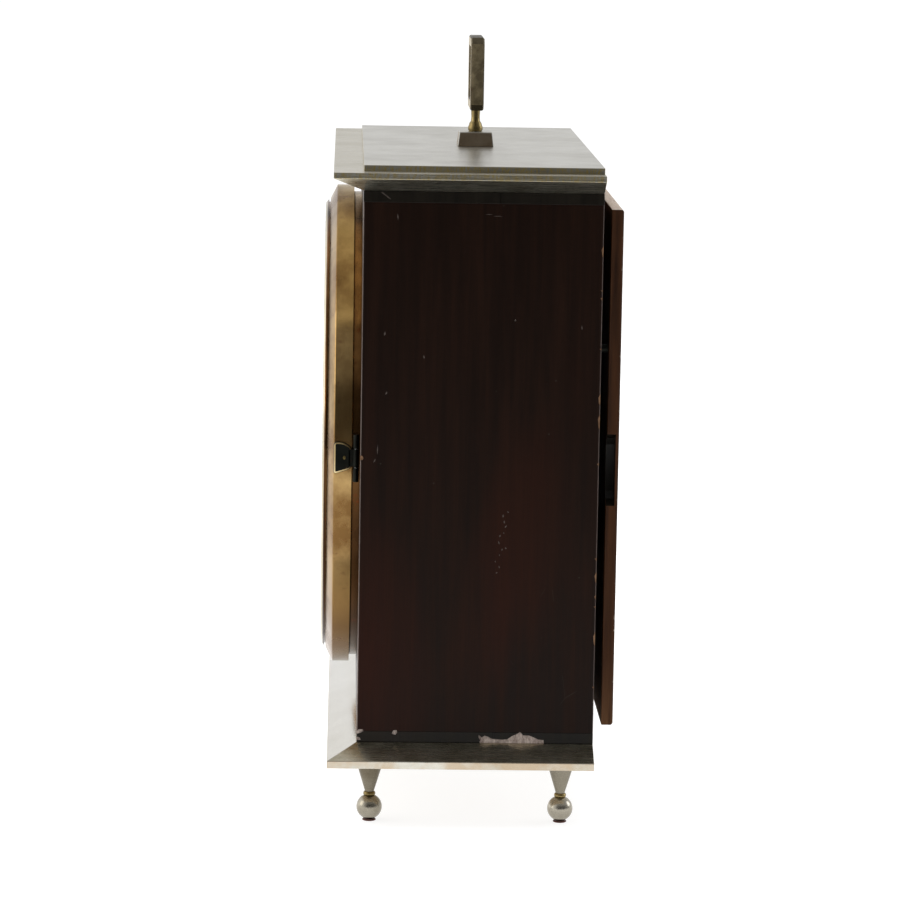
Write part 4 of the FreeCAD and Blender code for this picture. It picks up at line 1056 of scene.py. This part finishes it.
@dataclass
class MetalPlates:
    """Bevelled nickel plates below and above the case, and the slab on the upper one."""

    finishes: Finishes
    base_edge: float = 2.6
    top_edge: float = 2.1
    edge_round: float = 0.14
    least_slope: float = 200.0

    def build(self) -> None:
        """Make the three plates."""
        case = Extent.of("left_side_panel", "right_side_panel")
        looks = self.finishes
        self.plate("base_plate", case, self.base_edge, False,
                   (looks.base_plate, looks.bevel, looks.front_bevel))
        self.plate("top_plate", case, self.top_edge, True, (looks.top_plate, looks.under_bevel))
        slab = Extent.of("top_slab")
        work = Workpiece("top_slab_brushed").block(slab.low, slab.high).soften(self.edge_round)
        settle(work.made(looks.slab), "case", "nickel_plate", "top_slab")

    def plate(self, node: str, case: Extent, edge: float, upper: bool,
              materials: tuple[Material, ...]) -> None:
        """Make one plate: an upright edge and a broad bevel towards the case.

        Args:
            node: CAD node that it stands for.
            case: Extent of the case, where the bevel ends.
            edge: Height of the upright edge.
            upper: Whether the bevel is underneath.
            materials: Finish of its edge and flat, finish of its bevels and perhaps another of the front one.
        """
        box = Extent.of(node)
        low, high = box.low.copy(), box.high.copy()
        if upper:
            low.z = high.z - edge
        else:
            high.z = low.z + edge
        work = Workpiece(node + "_brushed").block(low, high)
        side = -1 if upper else 1
        face = next(item for item in work.bm.faces if item.normal.z * side > 0.9)
        grown = bmesh.ops.extrude_face_region(work.bm, geom=[face])
        bmesh.ops.delete(work.bm, geom=[face], context="FACES_ONLY")
        level = box.low.z if upper else box.high.z
        for vert in (item for item in grown["geom"] if isinstance(item, bmesh.types.BMVert)):
            vert.co = (math.copysign(case.high.x, vert.co.x),
                       case.low.y if vert.co.y < 0 else case.high.y, level)
        bmesh.ops.recalc_face_normals(work.bm, faces=work.bm.faces)
        work.soften(self.edge_round, least=20.0)
        piece = work.made(*materials)
        # Sloped faces take the bevel finish; the base plate's front slope takes the painted highlight.
        for face in piece.data.polygons:
            sloped = 0.3 < abs(face.normal.z) < 0.97 and face.normal.z * side > 0
            if sloped and face.area > self.least_slope * MM * MM:
                face.material_index = 2 if len(materials) > 2 and face.normal.y < -0.2 else 1
        settle(piece, "case", "nickel_plate", node)


@dataclass
class BallFeet:
    """Four feet, each a tapering shank, a brass collar, a polished ball and a felt pad."""

    finishes: Finishes
    steps: int = 64
    pad_reach: float = 3.2
    # Half outlines as (radius, height).
    pad: Outline = ((0, 0), (2.25, 0), (2.4, 0.12), (2.4, 0.36), (2.25, 0.48), (0, 0.48))
    collar: Outline = ((1.6, 9.2), (1.95, 9.2), (2.15, 9.45), (2.2, 9.8), (2.1, 10.2),
                                               (1.85, 10.5), (1.6, 10.6))
    shank: Outline = ((0, 9.2), (1.6, 9.2), (1.6, 10.6), (4.95, 21.6), (4.95, 22.0),
                                              (0, 22.0))

    def places(self) -> Outline:
        """Work out where the feet stand.

        Returns:
            The four places as (x, y).
        """
        pads, reach = Extent.of("foot_pads"), self.pad_reach
        return [(x, y) for x in (pads.low.x + reach, pads.high.x - reach)
                for y in (pads.low.y + reach, pads.high.y - reach)]

    def build(self) -> None:
        """Turn each kind of part four times into one piece."""
        looks = self.finishes
        for name, profile, closed, material, smooth, slot, node in (
                ("foot_pads_felt", self.pad, False, looks.felt, 40.0, "felt", "foot_pads"),
                ("foot_balls_polished", self.ball_profile(), False, looks.balls, 40.0, "nickel_plate",
                 "foot_balls"),
                ("foot_collars_brass", self.collar, True, looks.collar, 50.0, "brass", "foot_collars"),
                ("foot_shanks_turned", self.shank, False, looks.feet, 30.0, "nickel_plate", "foot_shanks")):
            work = Workpiece(name)
            for x, y in self.places():
                work.lathe(profile, Way.UP, (x, y, 0.0), self.steps, closed)
            settle(work.made(material, smooth=smooth), "case", slot, node)

    @staticmethod
    def ball_profile(radius: float = 4.55, middle: float = 4.95, low: float = 0.45,
                     high: float = 9.2) -> Outline:
        """Draw half the outline of a ball with a flat at the top and the bottom.

        Args:
            radius: Radius of the ball.
            middle: Height of its centre.
            low: Height of the lower flat.
            high: Height of the upper flat.

        Returns:
            Points as (radius, height).
        """
        first, last = math.asin((low - middle) / radius), math.asin((high - middle) / radius)
        arc = [first + (last - first) * step / 28 for step in range(29)]
        rim = [(radius * math.cos(angle), middle + radius * math.sin(angle)) for angle in arc]
        return [(0, low), *rim, (0, high)]


@dataclass
class CarryingLoop:
    """Handle on the slab: tapered block, collared stem and rectangular loop."""

    finishes: Finishes
    taper: float = 0.65
    block_round: float = 0.32
    bar: float = 4.0
    corner: float = 2.2
    chamfer: float = 0.5
    fine_round: float = 0.12
    # Half outline of the collar and neck, as (radius, height above the block).
    neck: Outline = ((2.0, 0.0), (2.35, 0.0), (2.7, 0.45), (2.8, 1.0), (2.75, 1.7),
                                             (2.45, 2.3), (2.35, 2.9), (1.95, 3.5), (1.7, 3.9), (1.62, 5.5))

    def build(self) -> None:
        """Make the block, stem and loop, and dress the nut under the top board."""
        self.block()
        self.stem()
        self.loop()
        dress_nodes(self.finishes.steel, "handle_nut")

    def block(self) -> None:
        """Make the block, narrower at its top."""
        box = Extent.of("handle_block")
        work = Workpiece("handle_block_filed").block(box.low, box.high)
        middle = box.middle
        for vert in work.bm.verts:
            if vert.co.z > middle.z:
                vert.co.x -= math.copysign(self.taper, vert.co.x - middle.x)
                vert.co.y -= math.copysign(self.taper, vert.co.y - middle.y)
        work.soften(self.block_round)
        piece = work.made(self.finishes.block, self.finishes.slab)
        for face in piece.data.polygons:
            if face.normal.z > 0.3 or abs(face.normal.x * face.normal.y) > 0.1:
                face.material_index = 1
        settle(piece, "case", "nickel_plate", "handle_block")

    def stem(self) -> None:
        """Turn the collar and neck, and the long screw below them."""
        box, block = Extent.of("handle_stem"), Extent.of("handle_block")
        top, low, high = block.high.z, box.low.z, box.high.z
        neck = [(radius, top + rise) for radius, rise in self.neck]
        profile = [(0, low), (2.0, low), *neck, (1.75, high), (0, high)]
        work = Workpiece("handle_stem_turned").lathe(profile, Way.UP, (0, box.middle.y, 0), 48, closed=False)
        settle(work.made(self.finishes.collar, smooth=40.0), "case", "aged_brass", "handle_stem")

    def loop(self) -> None:
        """Saw and chamfer the loop."""
        box = Extent.of("handle_loop")
        low, high, cut, bar = box.low, box.high, self.corner, self.bar
        outer = [(low.x + cut, low.z), (high.x - cut, low.z), (high.x, low.z + cut),
                 (high.x, high.z - cut), (high.x - cut, high.z), (low.x + cut, high.z),
                 (low.x, high.z - cut), (low.x, low.z + cut)]
        inner = [(low.x + bar, low.z + bar), (high.x - bar, low.z + bar),
                 (high.x - bar, high.z - bar), (low.x + bar, high.z - bar)]
        work = Workpiece("handle_loop_chamfered").prism(outer, Way.FRONT, low.y, high.y, [inner])
        work.soften(self.chamfer, 1, least=80.0)
        work.soften(self.fine_round, least=20.0)
        piece = work.made(self.finishes.handle, self.finishes.handle_edge)
        # Top faces and chamfers take the painted shade.
        for face in piece.data.polygons:
            if face.normal.z > 0.5 or max(abs(part) for part in face.normal) < 0.95:
                face.material_index = 1
        settle(piece, "case", "aged_brass", "handle_loop")


@dataclass
class GlazedBezel:
    """Opening bezel with its domed glass, hinge leaf and thumb tab, over the fixed ring."""

    finishes: Finishes
    steps: int = 256
    sight_ring: tuple[float, float] = (11.5, 12.95)
    sight_reach: tuple[float, float] = (83.3, 84.5)
    # Outlines of the two rings as (radius, distance in front of the case).
    ring: Outline = (
        (90.0, 3.0), (90.0, 9.1), (89.8, 9.4), (84.95, 11.75), (84.6, 11.8), (83.4, 11.8), (83.4, 12.4),
        (84.2, 12.4), (84.3, 12.5), (83.85, 12.93), (83.3, 13.45), (83.0, 13.58), (82.6, 13.6), (80.0, 12.9),
        (80.0, 9.95), (83.0, 9.95), (83.0, 6.5), (89.0, 6.5), (89.0, 3.0))
    seat: Outline = (
        (79.0, 0.0), (87.5, 0.0), (87.5, 2.6), (87.3, 3.6), (86.5, 3.6), (86.4, 2.7), (83.6, 2.7),
        (83.6, 1.9), (79.0, 1.9))
    knuckle: float = 5.0
    knuckle_half: float = 3.2
    leaf_span: tuple[float, float] = (89.2, 91.45)
    leaf_round: float = 1.1
    leaf_chamfer: float = 0.6
    tab_round: float = 0.3
    box: Extent = field(default_factory=lambda: Extent.of("bezel_ring"))
    front: float = field(default_factory=lambda: Extent.of("front_panel").low.y)

    @property
    def centre(self) -> Vector:
        """Point on the bezel's axis at the front face of the case."""
        return Vector((0, self.front, self.box.middle.z))

    def build(self) -> None:
        """Make each part of the bezel."""
        self.opening_ring()
        self.fixed_ring()
        self.glass()
        self.leaf()
        self.tab()
        dress_nodes(self.finishes.bezel, "glass_retaining_ring")
        dress_nodes(self.finishes.steel, "bezel_hinge_pin")
        dress_nodes(self.finishes.brass, "mount_ring_screws")

    def opening_ring(self) -> None:
        """Turn the opening ring, with a painted highlight on its lip and inner rim and painted shade in its
        groove.
        """
        work = Workpiece("bezel_ring_turned").lathe(self.ring, Way.FRONT, self.centre, self.steps)
        piece = work.made(self.finishes.bezel, self.finishes.rim, self.finishes.ring, smooth=22.0)
        (near, far), (inner, outer) = self.sight_ring, self.sight_reach
        # Lip faces take the painted highlight, groove faces the painted shade.
        for face in piece.data.polygons:
            out = self.front - face.center.y / MM
            reach = math.hypot(face.center.x / MM, face.center.z / MM - self.centre.z)
            if out > far or (out > near and reach < inner):
                face.material_index = 1
            elif out > near and reach < outer:
                face.material_index = 2
        settle(piece, "bezel", "aged_brass", "bezel_ring")

    def fixed_ring(self) -> None:
        """Turn the ring on the case and add the knuckles that hold the hinge pin."""
        work = Workpiece("mount_ring_turned").lathe(self.seat, Way.FRONT, self.centre, self.steps)
        pin = Extent.of("bezel_hinge_pin")
        place = (pin.middle.x, pin.middle.y, 0.0)
        for low, high in ((pin.low.z, pin.low.z + self.knuckle), (pin.high.z - self.knuckle, pin.high.z)):
            work.lathe(self.tube(0.5, low, high), Way.UP, place, 32)
            work.block((86.4, self.front - 2.5, low + 0.2),
                       (pin.middle.x - 0.7, self.front - 0.5, high - 0.2))
        piece = work.made(self.finishes.ring, self.finishes.leaf, smooth=22.0)
        # The ring's dark tone is painted shade in the gap behind the band; the knuckles and lug take the
        # leaf's near-black painted dark reflection.
        for face in piece.data.polygons:
            if face.center.x / MM > 87.6:
                face.material_index = 1
        settle(piece, "case", "aged_brass", "bezel_mount_ring")

    @staticmethod
    def tube(bore: float, low: float, high: float) -> Outline:
        """Draw the outline of a knuckle's wall.

        Args:
            bore: Radius of the hole.
            low: Height of its lower end.
            high: Height of its upper end.

        Returns:
            Points as (radius, height).
        """
        return [(bore, low), (0.98, low), (1.1, low + 0.12), (1.1, high - 0.12), (0.98, high), (bore, high)]

    def bore_out(self, piece: Object, radius: float) -> None:
        """Cut a piece back to a circle about the bezel's axis.

        Args:
            piece: Leaf or tab.
            radius: Radius of the circle.
        """
        work = Workpiece("bezel_bore").lathe([(0, -5), (radius, -5), (radius, 15), (0, 15)], Way.FRONT,
                                             self.centre, self.steps, closed=False)
        carve(piece, work.made())

    def glass(self, curve: float = 697.0, apex: float = 14.5, thick: float = 1.5,
              radius: float = 82.8) -> None:
        """Blow the domed glass.

        Args:
            curve: Radius of the dome.
            apex: How far its middle stands in front of the case.
            thick: Thickness of the glass.
            radius: Radius of its rim.
        """
        rings = 22
        outer = []
        for step in range(rings + 1):
            reach = radius * step / rings
            outer.append((reach, apex - (curve - math.sqrt(curve ** 2 - reach ** 2))))
        inner = [(reach, far - thick) for reach, far in reversed(outer)]
        work = Workpiece("bezel_glass_domed").lathe(outer + inner, Way.FRONT, self.centre, 128, closed=False)
        settle(work.made(self.finishes.glass, smooth=40.0), "bezel", "glass", "bezel_glass")

    def leaf(self) -> None:
        """Shape the hinge leaf on the band, its rivet and the middle knuckle."""
        middle, front, half = self.centre.z, self.front, self.knuckle_half
        pin = Extent.of("bezel_hinge_pin")
        outline = [(front - 3.0, middle - 3.8), (front - 9.4, middle - 5.8), (front - 9.4, middle + 5.7),
                   (front - 6.2, middle + 5.7), (front - 3.0, middle + 3.9)]
        work = Workpiece("bezel_hinge_leaf_filed").prism(outline, Way.SIDE, *self.leaf_span)
        posts = [edge for edge in work.bm.edges if abs(edge.verts[0].co.x - edge.verts[1].co.x) > 1.0]
        work.bevel(posts, self.leaf_round, 4)
        outer = self.leaf_span[1] - 0.05
        rim = [edge for edge in work.bm.edges if all(vert.co.x > outer for vert in edge.verts)]
        work.bevel(rim, self.leaf_chamfer)
        plate = work.made(self.finishes.leaf, self.finishes.leaf_edge)
        # Chamfer faces take the painted highlight; the field keeps the painted dark reflection.
        for face in plate.data.polygons:
            if 0.5 < face.normal.x < 0.97:
                face.material_index = 1
        self.bore_out(plate, 90.0)
        settle(plate, "bezel", "aged_brass", "bezel_hinge_leaf")
        barrel = Workpiece("bezel_hinge_knuckle")
        barrel.lathe(self.tube(0.56, -half, half), Way.UP, (pin.middle.x, pin.middle.y, middle), 32)
        barrel.block((pin.middle.x - 0.9, front - 4.0, middle - half + 0.1),
                     (pin.middle.x + 0.25, pin.middle.y - 0.75, middle + half - 0.1))
        settle(barrel.made(self.finishes.leaf, smooth=30.0), "bezel", "aged_brass")
        rivet = Workpiece("bezel_hinge_rivet")
        rivet.ball((91.3, front - 5.6, middle + 0.2), 0.9, (0.22, 0.8, 1.2))
        settle(rivet.made(self.finishes.collar, smooth=40.0), "bezel", "aged_brass")

    def tab(self) -> None:
        """Shape the thumb tab opposite the hinge."""
        box = Extent.of("bezel_thumb_tab")
        low, high, middle = box.low, box.high, self.centre.z
        outline = [(-89.0, middle - 4.9), (low.x + 1.6, middle - 4.9), (low.x + 0.4, middle - 3.8),
                   (low.x, middle - 2.4), (low.x, middle + 2.4), (low.x + 0.4, middle + 3.8),
                   (low.x + 1.6, middle + 4.9), (-89.0, middle + 4.9)]
        work = Workpiece("bezel_thumb_tab_filed").prism(outline, Way.FRONT, low.y, high.y)
        work.soften(self.tab_round, least=40.0)
        piece = work.made(self.finishes.bezel)
        self.bore_out(piece, 89.9)
        settle(piece, "bezel", "aged_brass", "bezel_thumb_tab")


@dataclass
class RearDoor:
    """Wooden rear door with rounded edges and a finger notch, on two brass butt hinges."""

    finishes: Finishes
    round_over: float = 1.0
    inner_round: float = 0.3
    # Half of the finger notch, as (distance in from the edge, distance from its middle).
    notch: Outline = ((-1.0, 13.0), (1.2, 12.4), (4.6, 10.8), (6.6, 8.2), (7.0, 6.0))
    notch_height: float = 128.0
    notch_depth: float = 3.0
    # Heights and half lengths of the nicks.
    nicks: Outline = ((199.0, 1.2), (168.4, 1.0), (149.0, 0.6), (75.2, 2.2),
                                              (70.5, 0.8), (52.0, 0.7))
    nick_area: float = 6.0
    box: Extent = field(default_factory=lambda: Extent.of("rear_door"))

    def build(self) -> None:
        """Make the board and dress its fittings."""
        box, looks = self.box, self.finishes
        work = Workpiece("rear_door_board").block(box.low, box.high)
        outer = [edge for edge in work.bm.edges if all(vert.co.y > box.middle.y for vert in edge.verts)]
        work.bevel(outer, self.round_over, 4)
        rest = [edge for edge in work.bm.edges if all(vert.co.y < box.middle.y for vert in edge.verts)
                and len(edge.link_faces) == 2 and edge.calc_face_angle() > 1.0]
        work.bevel(rest, self.inner_round)
        piece = work.made(looks.board, looks.banding, looks.dusty)
        self.cut_notch(piece)
        self.wear(piece)
        self.darken_notch(piece)
        settle(piece, "door", "door_wood", "rear_door")
        dress_nodes(looks.brass, "rear_hinge_case_leaves", "rear_hinge_door_leaves")
        dress_nodes(looks.leaf, "door_strike", "door_catch")
        dress_nodes(looks.steel, "rear_hinge_pins")

    def cut_notch(self, piece: Object) -> None:
        """Scoop the finger notch out of the inner face.

        Args:
            piece: The board.
        """
        edge, low = self.box.high.x, self.box.low.y
        half = [(edge - reach, rise) for reach, rise in self.notch]
        outline = [(x, self.notch_height - rise) for x, rise in half]
        outline += [(x, self.notch_height + rise) for x, rise in reversed(half)]
        cutter = Workpiece("finger_notch").prism(outline, Way.FRONT, low - 1.0, low + self.notch_depth)
        carve(piece, cutter.made())

    def darken_notch(self, piece: Object) -> None:
        """Give the notch's floor and walls the near-black banding finish as painted shade in the recess.

        Args:
            piece: The board, already cut.
        """
        edge, low = self.box.high.x, self.box.low.y
        for face in piece.data.polygons:
            x, y, z = face.center / MM
            inside = edge - 7.2 < x < edge - 0.4 and abs(z - self.notch_height) < 13.2
            if inside and low + 0.1 < y < low + self.notch_depth + 0.05:
                face.material_index = 1

    def wear(self, piece: Object) -> None:
        """Nick the outer long edge, and paint the top end pale with dust and a painted highlight of the
        overhead light.

        Args:
            piece: The board.
        """
        high = self.box.high
        cutter = Workpiece("nicks")
        for z, tall in self.nicks:
            nick = [(high.y + 0.4, z - tall), (high.y - 0.5, z - 0.2 * tall),
                    (high.y - 0.45, z + 0.3 * tall), (high.y + 0.4, z + tall)]
            cutter.prism(nick, Way.SIDE, high.x - 0.75, high.x + 0.5)
        carve(piece, cutter.made())
        # Nicks take the rubbed grain; the top end takes dust and the painted highlight.
        for face in piece.data.polygons:
            nicked = any(abs(face.center.z / MM - z) < tall for z, tall in self.nicks)
            if face.normal.z > 0.6 or (nicked and face.area < self.nick_area * MM * MM):
                face.material_index = 2


@dataclass
class DialFace:
    """Cream dial with plain numerals, a minute track and blued hands."""

    finishes: Finishes
    numeral_r: float = 62.0
    numeral_size: float = 15.0
    track: tuple[float, float] = (73.0, 76.0)
    track_line: float = 0.15
    hour_stroke: float = 0.45
    minute_stroke: float = 0.14
    print_thick: float = 0.06

    def build(self) -> None:
        """Dress the disc and hands, and print the dial."""
        dress_nodes(self.finishes.enamel, "dial")
        dress_nodes(self.finishes.blued, "hour_hand", "minute_hand")
        dress_nodes(self.finishes.brass, "hand_nut")
        self.numerals()
        self.minute_track()

    def point(self, radius: float, turn: float) -> tuple[float, float]:
        """Find a place on the dial.

        Args:
            radius: Distance from its middle.
            turn: Clockwise turn from twelve, in radians.

        Returns:
            The place as (x, z).
        """
        middle = Extent.of("bezel_ring").middle.z
        return radius * math.sin(turn), middle + radius * math.cos(turn)

    def numerals(self) -> None:
        """Print the twelve numerals as one piece."""
        face = Extent.of("dial").low.y
        gathered = bmesh.new()
        graph = bpy.context.evaluated_depsgraph_get()
        for hour in range(1, 13):
            letters = bpy.data.curves.new("numeral", "FONT")
            letters.body = str(hour)
            letters.size = self.numeral_size
            letters.align_x, letters.align_y = "CENTER", "CENTER"
            letters.extrude = self.print_thick / 2
            thing = bpy.data.objects.new("numeral", letters)
            bpy.context.scene.collection.objects.link(thing)
            graph.update()
            mesh = bpy.data.meshes.new_from_object(thing.evaluated_get(graph))
            x, z = self.point(self.numeral_r, hour * math.pi / 6)
            place = Matrix.Translation((x, face - self.print_thick / 2, z))
            mesh.transform(place @ Matrix.Rotation(math.pi / 2, 4, "X"))
            gathered.from_mesh(mesh)
            bpy.data.objects.remove(thing)
            bpy.data.meshes.remove(mesh)
        work = Workpiece("dial_numerals")
        work.bm.free()
        work.bm = gathered
        settle(work.made(self.finishes.black), "case", "dial_enamel")

    def minute_track(self) -> None:
        """Print two thin rings with a stroke for each minute between them."""
        face = Extent.of("dial").low.y
        centre = (0, face, Extent.of("bezel_ring").middle.z)
        (inner, outer), line, thick = self.track, self.track_line, self.print_thick
        work = Workpiece("dial_minute_track")
        for radius in (inner, outer):
            band = [(radius - line, 0), (radius + line, 0), (radius + line, thick), (radius - line, thick)]
            work.lathe(band, Way.FRONT, centre, 180)
        for minute in range(60):
            turn = minute * math.pi / 30
            half = self.hour_stroke if minute % 5 == 0 else self.minute_stroke
            stroke = bmesh.ops.create_cube(work.bm, size=1.0)["verts"]
            size = Matrix.Diagonal((2 * half, thick, outer - inner, 1.0))
            x, z = self.point((inner + outer) / 2, turn)
            place = Matrix.Translation((x, face - thick / 2, z)) @ Matrix.Rotation(turn, 4, "Y") @ size
            bmesh.ops.transform(work.bm, matrix=place, verts=stroke)
        settle(work.made(self.finishes.black), "case", "dial_enamel")


@dataclass
class Clockwork:
    """Movement, hands' gearing and pendulum, all carried over from the frame with their metals."""

    finishes: Finishes
    brass: tuple[str, ...] = (
        "movement_front_plate", "movement_back_plate", "plate_pillars", "back_cock", "spring_barrel",
        "barrel_cover", "intermediate_wheel", "centre_wheel", "third_wheel", "escape_wheel", "hour_wheel",
        "minute_wheel", "pendulum_bob", "rating_nut")
    steel: tuple[str, ...] = (
        "mounting_straps", "strap_screws", "suspension_strip", "cannon_pinion", "barrel_arbor",
        "ratchet_wheel", "click", "pallet_anchor", "pendulum_rod")
    blued: tuple[str, ...] = ("mainspring",)

    def build(self) -> None:
        """Give each part its metal."""
        dress_nodes(self.finishes.brass, *self.brass)
        dress_nodes(self.finishes.steel, *self.steel)
        dress_nodes(self.finishes.blued, *self.blued)


@dataclass
class Studio:
    """White sweep, soft lights, surroundings and the camera."""

    finishes: Finishes
    eye: tuple[float, float, float] = (1.47458, -0.04502, 0.33553)
    aim: tuple[float, float, float] = (0.0, 0.0, 0.12)
    yaw: float = 0.02798
    pitch: float = 0.14597
    roll: float = 0.01653
    lens: float = 157.25
    white: float = 1.0
    near_edge: float = 700.0
    far_edge: float = 14000.0
    half_width: float = 9000.0
    # Name, place, size, power and tint of each lamp.
    lamps: tuple[tuple, ...] = (
        ("overhead", (-0.35, -0.25, 1.7), (1.8, 1.8), 52.0, "ffffff"),
        ("front_left", (0.25, -1.7, 0.75), (0.9, 1.1), 4.0, "fffaf2"),
        ("rear_fill", (-0.3, 1.9, 0.9), (1.0, 1.0), 9.0, "f4f8ff"))
    # Name of each brightness ramp of the room, its axis, and its span there and in brightness.
    ramps: tuple[tuple, ...] = (
        ("wall", "X", -0.3, 0.8, 0.85, 0.10), ("low", "Z", 0.40, 0.70, 1.0, 0.25),
        ("ceiling", "Z", 0.40, 0.48, 0.0, 0.23), ("skylight", "Z", 0.50, 0.95, 0.0, 0.27),
        ("window", "Y", -0.35, -0.9, 0.0, 0.9), ("table", "Z", 0.02, -0.12, 0.0, 0.12))

    def build(self) -> None:
        """Set up everything that isn't the clock."""
        self.floor()
        self.lights()
        self.surroundings()
        self.camera()
        bpy.context.scene.view_settings.view_transform = "Standard"

    def floor(self) -> None:
        """Lay the white paper, long behind the clock and short before it."""
        work = Workpiece("floor_paper")
        near, far, wide = self.near_edge, self.far_edge, self.half_width
        corners = [(-far, -wide, 0), (near, -wide, 0), (near, wide, 0), (-far, wide, 0)]
        work.bm.faces.new([work.bm.verts.new(corner) for corner in corners])
        bmesh.ops.recalc_face_normals(work.bm, faces=work.bm.faces)
        if work.bm.faces[:][0].normal.z < 0:
            bmesh.ops.reverse_faces(work.bm, faces=work.bm.faces)
        work.made(self.finishes.paper)

    def lights(self) -> None:
        """Hang three soft lights: overhead, front and a weak rear fill."""
        for name, place, size, power, tint in self.lamps:
            lamp = bpy.data.lights.new(name, "AREA")
            lamp.shape = "RECTANGLE"
            lamp.size, lamp.size_y = size
            lamp.energy = power
            lamp.color = linear(tint)[:3]
            thing = bpy.data.objects.new(name, lamp)
            thing.location = place
            toward = Vector(self.aim) - Vector(place)
            thing.rotation_euler = toward.to_track_quat("-Z", "Y").to_euler()
            thing.visible_glossy = name != "overhead"
            bpy.context.scene.collection.objects.link(thing)

    def surroundings(self) -> None:
        """Surround the clock: bright wall behind it, dim room on the viewer's side, white beyond."""
        world = bpy.data.worlds.new("studio")
        bpy.context.scene.world = world
        world.use_nodes = True
        tree = world.node_tree
        tree.nodes.clear()
        toward = add(tree, "SeparateXYZ", Vector=add(tree, "TexCoord").outputs["Generated"])
        ramp = {name: add(tree, "MapRange", Value=toward.outputs[axis], From_Min=start, From_Max=end,
                          To_Min=first, To_Max=last)
                for name, axis, start, end, first, last in self.ramps}
        side = add(tree, "Math", TIMES, at0=ramp["wall"], at1=ramp["low"])
        level_sides = add(tree, "Math", PLUS, at0=side, at1=ramp["table"])
        overhead = add(tree, "Math", PLUS, at0=ramp["ceiling"], at1=ramp["skylight"])
        indoors = add(tree, "Math", PLUS, at0=level_sides, at1=overhead)
        level = add(tree, "Math", PLUS, at0=indoors, at1=ramp["window"])
        room = add(tree, "Background", Color=(1.0, 1.0, 1.0, 1.0), Strength=level)
        plain = add(tree, "Background", Color=(1.0, 1.0, 1.0, 1.0), Strength=self.white)
        seen = add(tree, "LightPath").outputs["Is Camera Ray"]
        mixed = add(tree, "MixShader", at0=seen, at1=room, at2=plain)
        add(tree, "OutputWorld", Surface=mixed)

    def camera(self) -> None:
        """Stand the camera off the clock's right side, a little above it."""
        cos_p, sin_p = math.cos(self.pitch), math.sin(self.pitch)
        forward = Vector((-math.cos(self.yaw) * cos_p, math.sin(self.yaw) * cos_p, -sin_p))
        right = forward.cross(Vector((0, 0, 1))).normalized()
        up = right.cross(forward)
        cos_r, sin_r = math.cos(self.roll), math.sin(self.roll)
        across, above = right * cos_r + up * sin_r, up * cos_r - right * sin_r
        turn = Matrix((across, above, -forward)).transposed()
        view = bpy.data.cameras.new("camera")
        view.lens = self.lens
        view.sensor_width = 36.0
        view.clip_end = 60.0
        thing = bpy.data.objects.new("camera", view)
        thing.matrix_world = Matrix.Translation(self.eye) @ turn.to_4x4()
        bpy.context.scene.collection.objects.link(thing)
        bpy.context.scene.camera = thing


def main() -> None:
    """Build the clock's looks in order."""
    logging.basicConfig(level=logging.INFO, format="%(name)s: %(message)s")
    finishes = Finishes()
    for assembly in (Studio, CaseShell, MetalPlates, BallFeet, CarryingLoop, GlazedBezel, RearDoor, DialFace,
                     Clockwork):
        assembly(finishes).build()
        log.info("%s done", assembly.__name__)


if __name__ == "__main__":
    main()
